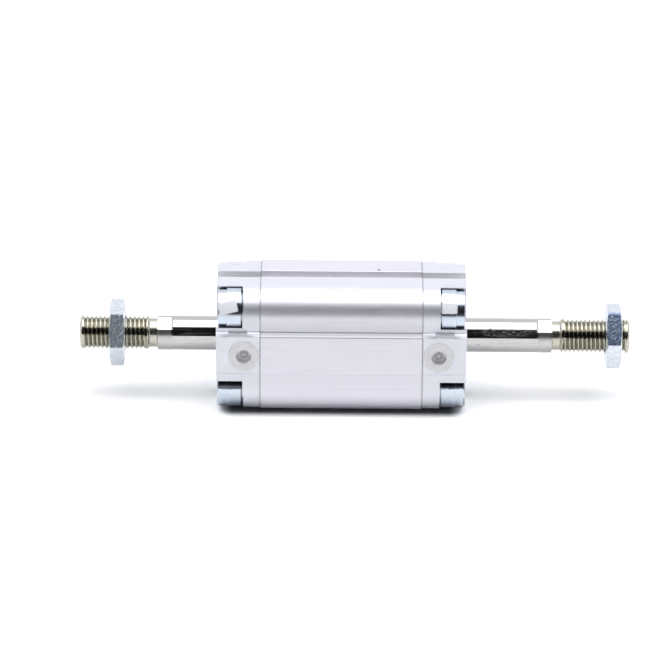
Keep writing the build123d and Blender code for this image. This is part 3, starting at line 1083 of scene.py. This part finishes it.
@dataclass(frozen=True)
class RodOutline(Outline):
    """A rod with a pair of flats beside each shoulder.

    Args:
        shoulder: Half the length of the shank, in millimetres.
        flat: Half the width across the flats, in millimetres.
        flat_length: The length of the flats, in millimetres.
        cutter: The radius that runs them out, in millimetres.
        flat_turn: The direction that one flat faces, in degrees.
    """

    shoulder: float = 1.0
    flat: float = 1.0
    flat_length: float = 1.0
    cutter: float = 1.0
    flat_turn: float = 0.0

    def angles(self) -> np.ndarray:
        """Move the nearest column to each edge of the flats.

        Returns:
            The angles of the columns.
        """
        even = super().angles()
        shank = max(corner.radius for corner in self.corners)
        edge = math.acos(self.flat / shank)
        facing = math.radians(self.flat_turn) + np.array((0, math.pi))
        edges = [direction + way * edge for direction in facing for way in (-1, 1)]
        nearest = [int(np.argmin(np.abs((even - value + math.pi) % TURN - math.pi))) for value in edges]
        even[nearest] = edges
        return np.sort(even % TURN)

    def shape(self) -> tuple[np.ndarray, np.ndarray, np.ndarray]:
        """Cut the flats into the surface.

        At s from the shoulder the flat lies at height h = flat + c - sqrt(c^2 - e^2), with c the
        cutter's radius and e how far s is past the flat's length. It limits the radius to
        h / cos(a), where a is the angle from the direction that the flat faces.

        Returns:
            Distance, radius and angle of each point.
        """
        along, radius, angle = super().shape()
        inside = self.shoulder - np.abs(along)
        past = np.clip(inside - self.flat_length, 0, self.cutter)
        height = self.flat + self.cutter - np.sqrt(self.cutter**2 - past**2)
        cosine = np.abs(np.cos(angle - math.radians(self.flat_turn)))
        limit = height / np.maximum(cosine, 1e-3)
        on_shank = (inside >= -1e-6) & (past < self.cutter)
        return along, np.where(on_shank, np.minimum(radius, limit), radius), angle


@dataclass(frozen=True)
class NutOutline(Outline):
    """A hexagon nut whose faces are turned to a cone.

    Args:
        face: The radius of its flat face, in millimetres.
        chamfer: How deep the cone goes at the hexagon's corners, in millimetres.
        flat: Half the width across the flats, in millimetres.
        thickness: Its thickness, in millimetres.
        edge: How far its edges are eased, in millimetres.
    """

    face: float = 1.0
    chamfer: float = 1.0
    flat: float = 1.0
    thickness: float = 1.0
    edge: float = 0.07

    def shape(self) -> tuple[np.ndarray, np.ndarray, np.ndarray]:
        """Add the outside to the bore.

        The cone starts at the face's radius f and meets the hexagon's corner at depth c, so at
        an angle where the hexagon's radius is r they meet at depth c (r - f) / (corner - f).

        Returns:
            Distance, radius and angle of each point, the bore's rows first.
        """
        along, radius, angle = super().shape()
        angles = angle[0]
        corner = self.flat / math.cos(SIXTH / 2)
        sides = np.minimum(self.flat / np.cos(self.from_flat(angles)), corner - self.edge)
        meet = self.chamfer * (sides - self.face) / (corner - self.face)
        slope = (corner - self.face) / self.chamfer
        low = [
            (0 * meet, 0 * meet + self.face - self.edge),
            (meet * 0 + self.edge * 0.3, 0 * meet + self.face),
            (meet - self.edge * 0.4, sides - self.edge * 0.4 * slope * 0.8),
            (meet, sides - self.edge * 0.3),
            (meet + self.edge, sides),
        ]
        high = [(self.thickness - depth, reach) for depth, reach in reversed(low)]
        for depth, reach in low + high:
            along = np.vstack((along, depth))
            radius = np.vstack((radius, reach))
            angle = np.vstack((angle, angles))
        return along, radius, angle


def weld(mesh: bpy.types.Mesh, flatten: bool = False) -> bpy.types.Mesh:
    """Join a mesh's doubled points and turn its faces outwards.

    Args:
        mesh: The mesh, changed in place.
        flatten: Whether triangles in one plane are joined too.

    Returns:
        The same mesh, smooth but for its sharp edges.
    """
    work = bmesh.new()
    work.from_mesh(mesh)
    bmesh.ops.remove_doubles(work, verts=work.verts, dist=WELD_DISTANCE)
    bmesh.ops.dissolve_degenerate(work, edges=work.edges, dist=WELD_DISTANCE)
    if flatten:
        bmesh.ops.dissolve_limit(work, angle_limit=FLAT_ANGLE, verts=work.verts, edges=work.edges)
    bmesh.ops.recalc_face_normals(work, faces=work.faces)
    work.to_mesh(mesh)
    work.free()
    mesh.shade_smooth()
    mesh.set_sharp_from_angle(angle=SHARP_ANGLE)
    return mesh


def grid_mesh(name: str, points: np.ndarray, closed: bool) -> bpy.types.Mesh:
    """A mesh over a grid of points that closes on itself along its columns.

    Args:
        name: The mesh's name.
        points: Points in millimetres, as rows by columns by 3.
        closed: Whether the last row joins the first.

    Returns:
        The mesh, in metres.
    """
    rows, columns = points.shape[:2]
    index = np.arange(rows * columns).reshape(rows, columns)
    beyond = np.roll(index, -1, axis=0)
    if not closed:
        index, beyond = index[:-1], beyond[:-1]
    corners = (index, np.roll(index, -1, axis=1), np.roll(beyond, -1, axis=1), beyond)
    quads = np.stack(corners, axis=-1).reshape(-1, 4)
    mesh = bpy.data.meshes.new(name)
    mesh.vertices.add(rows * columns)
    mesh.vertices.foreach_set("co", (points * MM).astype(np.float32).ravel())
    mesh.loops.add(quads.size)
    mesh.loops.foreach_set("vertex_index", quads.ravel())
    mesh.polygons.add(len(quads))
    mesh.polygons.foreach_set("loop_start", np.arange(0, quads.size, 4))
    mesh.update(calc_edges=True)
    return weld(mesh)


def softened_copy(node: str, edge: float) -> bpy.types.Object:
    """A CAD node's shape as one joined mesh with eased edges.

    Args:
        node: The node's name.
        edge: The width of the easing, in millimetres.

    Returns:
        A new object, with the easing as its modifier.
    """
    mesh = frame["nodes"][node].data.copy()
    mesh.materials.clear()
    piece = bpy.data.objects.new(f"{node}_fine", weld(mesh, flatten=True))
    bevel = piece.modifiers.new("eased_edges", "BEVEL")
    bevel.width = edge * MM
    bevel.segments = EASED_SEGMENTS
    bevel.limit_method = "ANGLE"
    bevel.angle_limit = EASED_ANGLE
    bevel.harden_normals = False
    return piece


class Assembly:
    """A group of pieces that are built and dressed together."""

    def build(self) -> None:
        """Make the group's pieces and put each on its body."""
        raise NotImplementedError

    def add(self, piece: bpy.types.Object, node: str, slot: Slot, finish: Finish) -> None:
        """Let a piece stand for a CAD node.

        Args:
            piece: The new object.
            node: The node that it replaces.
            slot: The record's material slot; not used.
            finish: What it is made of.
        """
        bpy.context.scene.collection.objects.link(piece)
        piece.data.materials.append(finish.material())
        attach(piece, body_of(node))
        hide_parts(node)
        log.info("%s stands for %s, %d faces", piece.name, node, len(piece.data.polygons))

    def turned(self, outline: Outline, axis: Axis, node: str, slot: Slot, finish: Finish) -> None:
        """Turn an outline and let it stand for a CAD node.

        Args:
            outline: The outline.
            axis: The axis that it is turned about.
            node: The node that it replaces.
            slot: The record's material slot.
            finish: What it is made of.
        """
        name = f"{node}_fine"
        self.add(bpy.data.objects.new(name, outline.mesh(name, axis)), node, slot, finish)

    def dress(self, node: str, finish: Finish) -> None:
        """Give a CAD node its material.

        Args:
            node: The node, which keeps its own mesh.
            finish: What it is made of.
        """
        target = frame["nodes"][node]
        if not target.data.materials:
            target.data.materials.append(None)
        for place in target.material_slots:
            place.material = finish.material()
        log.info("%s keeps its CAD shape in %s", node, finish.name)


@dataclass
class Housing(Assembly):
    """The extruded barrel between its two cast caps.

    Args:
        edge: The easing of the barrel's and caps' edges, in millimetres.
        tone: The colour of the anodised barrel.
        cap_tone: The colour of the caps.
        roughness: The mean roughness of both.
        pocket: Where the painted shade in the screw pockets starts and ends behind the caps' faces, in
            millimetres.
    """

    edge: float = 0.16
    roughness: float = 0.46
    pocket: tuple[float, float] = (0.3, 7.7)
    tone: Colour = (0.87, 0.865, 0.935)
    cap_tone: Colour = (0.86, 0.87, 0.93)

    def build(self) -> None:
        """Ease the edges of the barrel and the caps, and dress all three."""
        joints = tuple(side.joint for side in Side)
        top = float(extent("barrel")[1][2])
        speck = Speck((float(middle("barrel")[0]) + 10.8, 4.0, top), 0.6)
        barrel = Anodised("anodised_barrel", self.tone, self.roughness, (speck,), joints=joints)
        self.add(softened_copy("barrel", self.edge), "barrel", Slot.BARREL, barrel)
        for side in Side:
            node = f"{side.value}_cap"
            self.add(softened_copy(node, self.edge), node, Slot.CAP, self.cap(side, joints))

    def cap(self, side: Side, joints: tuple[float, ...]) -> Anodised:
        """The skin of one cap, with its own rubbed patches beside the upper pockets.

        Args:
            side: The cap's side.
            joints: Where along X the caps meet the barrel, in millimetres.

        Returns:
            The finish.
        """
        top = float(extent(f"{side.value}_cap")[1][2])
        if side is Side.LEFT:
            scuffs = (
                Scuff((side.end + 5.4, 8.3, top), (1.9, 1.0, 0.6), 0.45),
                Scuff((side.end + 10.4, 4.0, top), (1.3, 1.2, 0.6), 0.3),
                Scuff((side.end + 5.0, -9.6, top), (2.8, 1.2, 0.6), 0.5),
            )
        else:
            scuffs = (
                Scuff((side.end - 6.6, 7.6, top), (0.8, 1.4, 0.6), 0.4),
                Scuff((side.end - 4.8, -8.4, top), (3.2, 1.4, 0.6), 0.35),
                Scuff((side.end - 4.4, -9.9, top), (4.4, 0.5, 0.6), 0.5),
            )
        return Anodised(
            f"anodised_cap_{side.value}",
            self.cap_tone,
            self.roughness,
            drawn=0.25,
            grain=0.008,
            joints=joints,
            scuffs=scuffs,
            pockets=tuple(sorted(side.end + side.inward * depth for depth in self.pocket)),
            shaded=0.55,
        )


@dataclass
class CapScrews(Assembly):
    """The eight cap screws, with collared heads, hexagon sockets and threaded bores.

    Args:
        setback: How far the heads stand behind the cap's face, in millimetres.
        pocket: How far the pockets reach, in millimetres.
        collar: The radius of the narrow end of a head, in millimetres.
        collar_length: Its length, in millimetres.
        shank: The radius of the shank, in millimetres.
        socket: Half the socket's width across flats, in millimetres.
        socket_depth: The socket's depth, in millimetres.
        bore: The radius of the threaded bore, in millimetres.
        seat: How much narrower the seat behind the head is, and its length, in millimetres.
        edge: The easing of the head's edges, in millimetres.
        lead: The depth and width of the cone at the socket's mouth, in millimetres.
        plain: The length of the shank between the head and its thread, in millimetres.
        blind: How far behind the socket the bore's thread ends, in millimetres.
        lip: The width and depth of the cone at the bore's mouth, in millimetres.
        bore_thread: The thread of the bore, which the shank has too.
        tone: The colour of the plate.
    """

    CORNERS: ClassVar[tuple[str, ...]] = ("front_top", "front_bottom", "back_top", "back_bottom")
    SOCKET_STEP: ClassVar[float] = 17.0

    setback: float = 0.6
    pocket: float = 7.6
    collar: float = 6.55
    collar_length: float = 2.4
    shank: float = 4.0
    socket: float = 4.0
    socket_depth: float = 3.0
    bore: float = 2.1
    seat: tuple[float, float] = (1.0, 0.35)
    edge: float = 0.25
    lead: tuple[float, float] = (0.35, 0.15)
    plain: float = 4.5
    blind: float = 8.0
    lip: tuple[float, float] = (0.3, 0.4)
    bore_thread: Thread = Thread(0.8, 0.4, 8)
    tone: Colour = (0.72, 0.79, 0.88)

    def build(self) -> None:
        """Turn the four screws of each end, with their sockets at different angles."""
        for side in Side:
            for index, corner in enumerate(self.CORNERS):
                node = f"{side.value}_screw_{corner}"
                low, high = extent(node)
                _, y, z = middle(node)
                axis = Axis.along_x((side.end, y, z), side.inward)
                tip = float(high[0] - low[0]) + self.setback
                outline = self.outline((high - low)[1] / 2, tip, self.SOCKET_STEP * index)
                self.turned(outline, axis, node, Slot.SCREW, self.finish(side, corner, z))

    def outline(self, head: float, tip: float, turn: float) -> Outline:
        """A screw's outline, from its socket round its head to its tip and back.

        Args:
            head: The head's radius, in millimetres.
            tip: How far the screw reaches behind the cap's face, in millimetres.
            turn: The turn of its socket, in degrees.

        Returns:
            The outline.
        """
        front = self.setback
        collar_end = front + self.collar_length
        floor = front + self.socket_depth
        corner = self.socket / math.cos(SIXTH / 2)
        seat_step, seat_length = self.seat
        lead_depth, lead_width = self.lead
        lip_width, lip_depth = self.lip
        corners = (
            Corner(floor, self.bore, 0.1),
            Corner(floor, self.socket, 0.05, hexagon=1),
            Corner(front + lead_depth, self.socket, 0.1, hexagon=1),
            Corner(front, corner + lead_width, 0.1),
            Corner(front, self.collar, self.edge),
            Corner(collar_end, self.collar, 0.1),
            Corner(collar_end, head, self.edge),
            Corner(self.pocket - seat_length, head, self.edge),
            Corner(self.pocket - seat_length, head - seat_step, 0.05),
            Corner(self.pocket, head - seat_step, 0.05),
            Corner(self.pocket, self.shank, 0.2),
            Corner(self.pocket + self.plain, self.shank, thread=-1),
            Corner(tip, self.shank, 0.5),
            Corner(tip, self.bore + lip_width, 0.2),
            Corner(tip - lip_depth, self.bore),
            Corner(floor + self.blind, self.bore, thread=1),
        )
        return Outline(corners, self.bore_thread, columns=72, turn=turn)

    def finish(self, side: Side, corner: str, z: float) -> Zinc:
        """The plate of one screw, with a dab of paint on each upper front head and painted shade on
        each lower one.

        Args:
            side: The screw's side.
            corner: The corner that it stands in.
            z: The height of its axis, in millimetres.

        Returns:
            The finish.
        """
        plate = Zinc("zinc_screw", self.tone, 0.2, mottle=0.12, dents=0.006)
        if corner == "front_top":
            return replace(plate, name=f"zinc_screw_{side.value}_top", patch=self.dab(side, z))
        if corner == "front_bottom":
            # Painted shade on the upper part of each lower front head, from this height up.
            overhang_shade_from = z + (0.1 if side is Side.LEFT else 0.7)
            return replace(plate, name=f"zinc_screw_{side.value}_bottom", overhang_shade_from=overhang_shade_from)
        return plate

    def dab(self, side: Side, z: float) -> Patch:
        """The dab of paint, straight on the right head and tilted on the left one.

        Args:
            side: The screw's side.
            z: The height of its axis, in millimetres.

        Returns:
            The dab.
        """
        if side is Side.LEFT:
            return Patch(side.end + 3.4, z + 2.95, 5.5, 3.1, 14.0)
        return Patch(side.end - 5.4, z + 3.2, 5.2, 2.8, 0.0)


@dataclass
class PortPlugs(Assembly):
    """The soft transit plugs in the two air ports.

    Args:
        stem: The radius of the stem, in millimetres.
        dish: The radius and depth of the open dish, in millimetres.
        recess: The radius of the hole in its floor, in millimetres.
        recess_depth: How deep that floor lies, in millimetres.
        nib: The radius and height of the nib on its floor, in millimetres.
        flange: The thickness of the flange, in millimetres.
        tone: The colour of the plastic.
    """

    stem: float = 2.5
    dish: tuple[float, float] = (2.15, 2.4)
    recess: float = 1.25
    recess_depth: float = 3.4
    nib: tuple[float, float] = (0.45, 1.6)
    flange: float = 0.6
    tone: Colour = (0.88, 0.885, 0.9)

    def build(self) -> None:
        """Turn a plug for each port."""
        plastic = Moulded("soft_plug", self.tone, 0.42, skin=0.012, glow=0.25)
        for side in Side:
            node = f"{side.value}_port_plug"
            low, high = extent(node)
            x, _, z = middle(node)
            seat = low[1] + self.flange
            axis = Axis((x, seat, z), (1.0, 0.0, 0.0), (0.0, 0.0, 1.0))
            outline = self.outline(high[1] - seat, (high - low)[0] / 2)
            self.turned(outline, axis, node, Slot.PLUG, plastic)

    def outline(self, depth: float, rim: float) -> Outline:
        """A plug's outline, from the bottom of its stem to its nib.

        Args:
            depth: How far the stem reaches behind the flange, in millimetres.
            rim: The flange's radius, in millimetres.

        Returns:
            The outline.
        """
        floor = self.flange - self.recess_depth
        radius, dish_depth = self.dish
        nib, nib_height = self.nib
        corners = (
            Corner(-depth, 0.0),
            Corner(-depth, self.stem, 0.25),
            Corner(0.0, self.stem, 0.05),
            Corner(0.0, rim, 0.1),
            Corner(self.flange, rim, 0.3),
            Corner(self.flange, radius, 0.2),
            Corner(self.flange - dish_depth, radius, 0.1),
            Corner(self.flange - dish_depth, self.recess, 0.15),
            Corner(floor, self.recess, 0.2),
            Corner(floor, nib, 0.1),
            Corner(floor + nib_height, nib, 0.3),
            Corner(floor + nib_height, 0.0),
        )
        return Outline(corners, closed=False, columns=72)


@dataclass
class PistonRod(Assembly):
    """The chromed through rod with a fine thread at each end.

    Args:
        undercut: The radius and length of the thread's undercut, in millimetres.
        end: The length of a threaded end with its undercut, in millimetres.
        flat: Half the width across the flats, in millimetres.
        flat_length: The length of the flats, in millimetres.
        cutter: The radius that runs them out, in millimetres.
        flat_turn: The direction that one flat faces, in degrees.
        clip: The clip groove's start, end and radius, in millimetres from the middle.
        thread: The thread of both ends.
        tone: The colour of the chrome.
    """

    NICKS: ClassVar[tuple[Colour, ...]] = (
        (-40.5, -3.77, 3.28),
        (-37.5, -4.06, 2.92),
        (-39.0, -4.44, 2.3),
        (-38.7, -4.2, 2.7),
    )
    DENT: ClassVar[Colour] = (-43.9, -4.9, -1.2)
    RUN_OUT: ClassVar[tuple[float, ...]] = (1.5, 0.31, 0.28, 0.2, 0.1, 0.0)

    undercut: tuple[float, float] = (4.2, 2.2)
    end: float = 22.5
    flat: float = 4.5
    flat_length: float = 4.2
    cutter: float = 0.3
    flat_turn: float = 124.0
    clip: tuple[float, float, float] = (3.4, 4.4, 4.7)
    thread: Thread = Thread(1.25, 0.8, 12)
    tone: Colour = (0.64, 0.635, 0.625)

    def build(self) -> None:
        """Turn the rod, with its nicks and scuffs counted from its right tip."""
        low, high = extent("piston_rod")
        x, y, z = middle("piston_rod")
        half = (high[0] - low[0]) / 2
        shank = half - self.end
        tip = float(high[0])
        specks = tuple(Speck((tip + along, *rest), 0.34, GRIME_AND_SHADE) for along, *rest in self.NICKS)
        specks += (Speck((tip + self.DENT[0], *self.DENT[1:]), 0.25, (0.2, 0.2, 0.2)),)
        metal = RodMetal(
            "chromed_rod",
            self.tone,
            0.07,
            specks,
            centre=float(x),
            shank=float(shank),
            flat_length=self.flat_length,
            flat_turn=self.flat_turn,
            scuffs=(
                Scuff((tip - 36.0, -4.3, 2.5), (11.0, 2.2, 2.2), 0.55),
                Scuff((tip - 146.0, -4.35, 2.4), (12.0, 0.8, 0.8), 0.6),
            ),
        )
        outline = self.outline(half, shank, (high - low)[2] / 2)
        self.turned(outline, Axis.along_x((x, y, z)), "piston_rod", Slot.ROD, metal)

    def outline(self, half: float, shank: float, radius: float) -> RodOutline:
        """The rod's outline, from its left tip to its right tip.

        Args:
            half: Half the rod's length, in millimetres.
            shank: Half the length of its shank, in millimetres.
            radius: The shank's radius, in millimetres.

        Returns:
            The outline, with its left half mirrored from its right one.
        """
        under, under_length = self.undercut
        inner, outer, groove = self.clip
        run_out = shank - self.flat_length
        right = (
            Corner(inner, radius),
            Corner(inner, groove),
            Corner(outer, groove),
            Corner(outer, radius),
            *(Corner(run_out - step, radius) for step in self.RUN_OUT),
            Corner(shank, radius, 0.35),
            Corner(shank, under, 0.35),
            Corner(shank + under_length, under, 0.3),
            Corner(shank + under_length + 0.6, radius - 0.05, 0.2, thread=-1),
            Corner(half - 0.6, radius - 0.03, 0.2),
            Corner(half, radius - 0.7, 0.2),
            Corner(half, 0.0),
        )
        left = tuple(
            replace(right[i], along=-right[i].along, thread=right[i - 1].thread)
            for i in reversed(range(len(right)))
        )
        return RodOutline(
            left + right,
            self.thread,
            closed=False,
            columns=120,
            shoulder=shank,
            flat=self.flat,
            flat_length=self.flat_length,
            cutter=self.cutter,
            flat_turn=self.flat_turn,
        )


@dataclass
class LockNuts(Assembly):
    """The thin lock nuts on the rod's threads.

    Args:
        across: The width across the flats, in millimetres.
        face: The radius of the turned face, in millimetres.
        chamfer: The depth of its cone, in millimetres.
        bore: The radius of the bore, in millimetres.
        turns: How far each nut is turned, in degrees.
        lead: How deep and how wide the cone at each end of the bore is, in millimetres.
        front_shades: The colour and strength of the painted shade and reflection on each nut's front
            face.
        thread: The thread of the bore.
        tone: The colour of the plate.
    """

    FLAT_FACING: ClassVar[float] = 30.0

    across: float = 17.0
    face: float = 7.6
    chamfer: float = 0.6
    bore: float = 5.02
    turns: tuple[float, float] = (8.0, -4.0)
    lead: float = 0.5
    # Painted shade and a bluish painted reflection on the front face of each nut.
    front_shades: tuple[tuple[Colour, float], ...] = (
        ((0.75, 0.92, 1.0), 0.45),
        ((0.1, 0.2, 0.42), 0.65),
    )
    thread: Thread = Thread(1.25, 0.35, 8)
    tone: Colour = (0.92, 0.96, 1.0)

    def build(self) -> None:
        """Turn a nut for each end of the rod."""
        _, y, z = middle("piston_rod")
        for side, turn, (stain_and_shade, front_shade_share) in zip(Side, self.turns, self.front_shades):
            zinc = Zinc(
                f"zinc_nut_{side.value}",
                self.tone,
                0.16,
                mottle=0.75,
                dents=0.1,
                metallic=0.75,
                stain_and_shade=stain_and_shade,
                front_shade_share=front_shade_share,
                facing=self.FLAT_FACING - turn,
            )
            node = f"{side.value}_lock_nut"
            low, high = extent(node)
            outline = self.outline(float(high[0] - low[0]), turn)
            self.turned(outline, Axis.along_x((low[0], y, z)), node, Slot.NUT, zinc)

    def outline(self, thickness: float, turn: float) -> NutOutline:
        """A nut's bore, from its far face to its near one; its outside follows from its sizes.

        Args:
            thickness: The nut's thickness, in millimetres.
            turn: The turn of its hexagon, in degrees.

        Returns:
            The outline.
        """
        corners = (
            Corner(thickness, self.bore + self.lead, 0.1),
            Corner(thickness - self.lead, self.bore, thread=1),
            Corner(self.lead, self.bore),
            Corner(0.0, self.bore + self.lead, 0.1),
        )
        return NutOutline(
            corners,
            self.thread,
            columns=180,
            turn=turn,
            face=self.face,
            chamfer=self.chamfer,
            flat=self.across / 2,
            thickness=thickness,
        )


class InnerPieces(Assembly):
    """The pieces inside the housing, which keep their CAD shapes."""

    BLACK_SEAL: ClassVar[Finish] = Moulded("black_seal", (0.025, 0.025, 0.028), 0.5, skin=0.006)
    PAIRS: ClassVar[dict[str, Finish]] = {
        "rod_bush": Turned("bearing_bronze", (0.62, 0.42, 0.2), 0.38),
        "rod_seal": BLACK_SEAL,
        "cap_oring": BLACK_SEAL,
        "cushion_ring": Moulded("cushion", (0.3, 0.26, 0.15), 0.55, skin=0.02),
        "piston_half": Turned("turned_piston", (0.72, 0.72, 0.74), 0.3),
        "piston_seal": BLACK_SEAL,
        "piston_clip": Turned("spring_steel", (0.3, 0.3, 0.32), 0.3, rings=1.5),
    }
    SINGLES: ClassVar[dict[str, Finish]] = {
        "magnet_ring": Moulded("bonded_magnet", (0.06, 0.06, 0.065), 0.6, skin=0.02),
        "piston_guide_ring": Moulded("guide_ring", (0.8, 0.77, 0.68), 0.5, skin=0.01),
        "piston_oring": BLACK_SEAL,
    }

    def build(self) -> None:
        """Dress the pieces that each end has, and then the single ones."""
        for side in Side:
            for piece, finish in self.PAIRS.items():
                self.dress(f"{side.value}_{piece}", finish)
        for node, finish in self.SINGLES.items():
            self.dress(node, finish)


@dataclass
class Studio:
    """The camera, the lights and the floor.

    Args:
        distance: From the camera to the point that it looks at, in metres.
        elevation: The camera's height angle, in degrees.
        roll: How far the picture is turned, in degrees.
        view_width: How wide the picture is at that point, in metres.
        sensor: The width of the camera's sensor, in millimetres.
        aim: That point from the middle of the housing, in millimetres.
        dark: The angles at which the unlit front of the room starts and ends, in degrees.
        dark_level: How bright that front is.
        back_level: How bright the rest of the room is in reflections.
        diffuse_level: How bright the room is for everything else.
        tint: The colour of the room.
        table_level: How bright the table is before the next four add to it.
        table_bounce: How much brighter the table is to dull surfaces.
        table_glow: How much brighter the table is in reflections.
        table_white: How much brighter the table is to the camera.
        table_grain: How much brighter its grain makes it at most.
        contact: The length and depth of the patch that the housing lies on, in millimetres.
        contact_fade: Where past that patch its painted shadow starts to fade and ends, in millimetres.
        contact_level: How bright the camera sees the table in that painted shadow at the patch, from 0
            to 1.
        contact_unseen: How much of that painted shadow all other rays meet, from 0 to 1.
        box_size: The softbox's width and depth, in metres.
        box_place: Its middle, in metres.
        box_radiance: How bright it is.
    """

    distance: float = 1.45
    elevation: float = 20.0
    roll: float = 0.45
    view_width: float = 0.1939
    sensor: float = 36.0
    aim: Colour = (-2.57, 0.0, 0.44)
    dark: tuple[float, float] = (-6.0, 58.0)
    dark_level: float = 0.01
    back_level: float = 0.9
    diffuse_level: float = 0.3
    tint: Colour = (0.98, 0.99, 1.03)
    table_level: float = 0.83
    table_bounce: float = 0.2
    table_glow: float = 0.3
    table_white: float = 0.68
    table_grain: float = 0.03
    contact: tuple[float, float] = (62.0, 29.0)
    contact_fade: tuple[float, float] = (0.3, 6.0)
    contact_level: float = 0.1
    contact_unseen: float = 0.4
    box_size: tuple[float, float] = (2.0, 1.0)
    box_place: Colour = (0.036, -0.04, 1.0)
    box_radiance: float = 1.78

    def build(self) -> None:
        """Set up the whole studio."""
        self.camera()
        self.room()
        self.softbox()
        self.floor()
        bpy.context.scene.view_settings.view_transform = "Standard"

    def camera(self) -> None:
        """Place the camera on its line of sight."""
        target = Vector((middle("barrel")[0] + self.aim[0], self.aim[1], self.aim[2])) * MM
        tilt = math.radians(90 - self.elevation)
        turn = Matrix.Rotation(tilt, 4, "X") @ Matrix.Rotation(math.radians(self.roll), 4, "Z")
        data = bpy.data.cameras.new("camera")
        data.sensor_width = self.sensor
        data.lens = self.sensor * self.distance / self.view_width
        data.clip_start, data.clip_end = CLIP_RANGE
        camera = bpy.data.objects.new("camera", data)
        back = turn.to_3x3() @ Vector((0, 0, 1))
        camera.matrix_world = Matrix.Translation(target + back * self.distance) @ turn
        bpy.context.scene.collection.objects.link(camera)
        bpy.context.scene.camera = camera

    def room(self) -> None:
        """A pale room with a dark sector on the camera's side, which only reflections see."""
        world = bpy.data.worlds.new("room")
        bpy.context.scene.world = world
        graph = Graph(world)
        direction = graph.add("ShaderNodeTexCoord", output="Generated")
        _, y, z = graph.axes(direction)
        angle = z.maths("ARCTAN2", z, -y) * (360 / TURN)
        start, end = self.dark
        shade = angle.rising(start - 3, start + 3) * angle.falling(end - 5, end + 5)
        reflected = (1 - shade) * (self.back_level - self.dark_level) + self.dark_level
        seen, diffuse = graph.rays("Camera", "Diffuse")
        level = reflected * (1 - diffuse) + diffuse * self.diffuse_level
        level = level * (1 - seen) + seen
        tint = graph.mix(seen, self.tint, WHITE)
        background = graph.add("ShaderNodeBackground", inputs={"Color": tint, "Strength": level})
        graph.add("ShaderNodeOutputWorld", inputs={"Surface": background})

    def softbox(self) -> None:
        """A wide softbox overhead, as bright as its radiance says."""
        light = bpy.data.lights.new("softbox", "AREA")
        light.shape = "RECTANGLE"
        light.size, light.size_y = self.box_size
        light.energy = self.box_radiance * math.pi * self.box_size[0] * self.box_size[1]
        lamp = bpy.data.objects.new("softbox", light)
        lamp.location = self.box_place
        bpy.context.scene.collection.objects.link(lamp)

    @staticmethod
    def past(value: Wire, width: float) -> Wire:
        """How far a value about 0 is past half a width, or 0 within it."""
        beyond = abs(value) - width / 2
        return beyond.maths("MAXIMUM", beyond, 0.0)

    def floor(self) -> None:
        """A white table that the housing lies on, brighter to the camera than to the part, with a
        painted shadow.
        """
        level = extent("barrel")[0][2] * MM
        corners = [(-2, -0.6, level), (2, -0.6, level), (2, 3, level), (-2, 3, level)]
        mesh = bpy.data.meshes.new("table")
        mesh.from_pydata(corners, [], [(0, 1, 2, 3)])
        table = bpy.data.objects.new("table", mesh)
        bpy.context.scene.collection.objects.link(table)
        material = bpy.data.materials.new("white_table")
        graph = Graph(material)
        place = graph.place()
        grain = graph.noise(place, 0.4, detail=3.0)
        x, y, _ = graph.axes(place)
        length, depth = self.contact
        past_x = self.past(x - float(middle("barrel")[0]), length)
        past_y = self.past(y, depth)
        past = graph.length(past_x, past_y, 0.0)
        # Painted shadow: the table darkens around and under the housing, mostly for the camera.
        near = past.between(*self.contact_fade, self.contact_level, 1.0)
        seen, mirrored, scattered = graph.rays("Camera", "Glossy", "Diffuse")
        lift = mirrored * self.table_glow + scattered * self.table_bounce
        level = seen * self.table_white + lift + grain * self.table_grain + self.table_level
        unseen = self.contact_unseen
        level = level * (1 - (seen * (1 - unseen) + unseen) * (1 - near))
        shader = graph.add("ShaderNodeBsdfDiffuse", inputs={"Color": graph.vector(level, level, level)})
        graph.add("ShaderNodeOutputMaterial", inputs={"Surface": shader})
        mesh.materials.append(material)
        table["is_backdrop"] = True


def write_sizes() -> None:
    boxes = [[list(map(float, corner)) for corner in box] for box in (cad_bounds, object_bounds())]


def main() -> None:
    """Build every group of the part and its studio."""
    logging.basicConfig(level=logging.INFO, format="%(message)s")
    for group in (Housing(), CapScrews(), PortPlugs(), PistonRod(), LockNuts(), InnerPieces()):
        log.info("building %s", type(group).__name__)
        group.build()
    Studio().build()
    write_sizes()


if __name__ == "__main__":
    main()
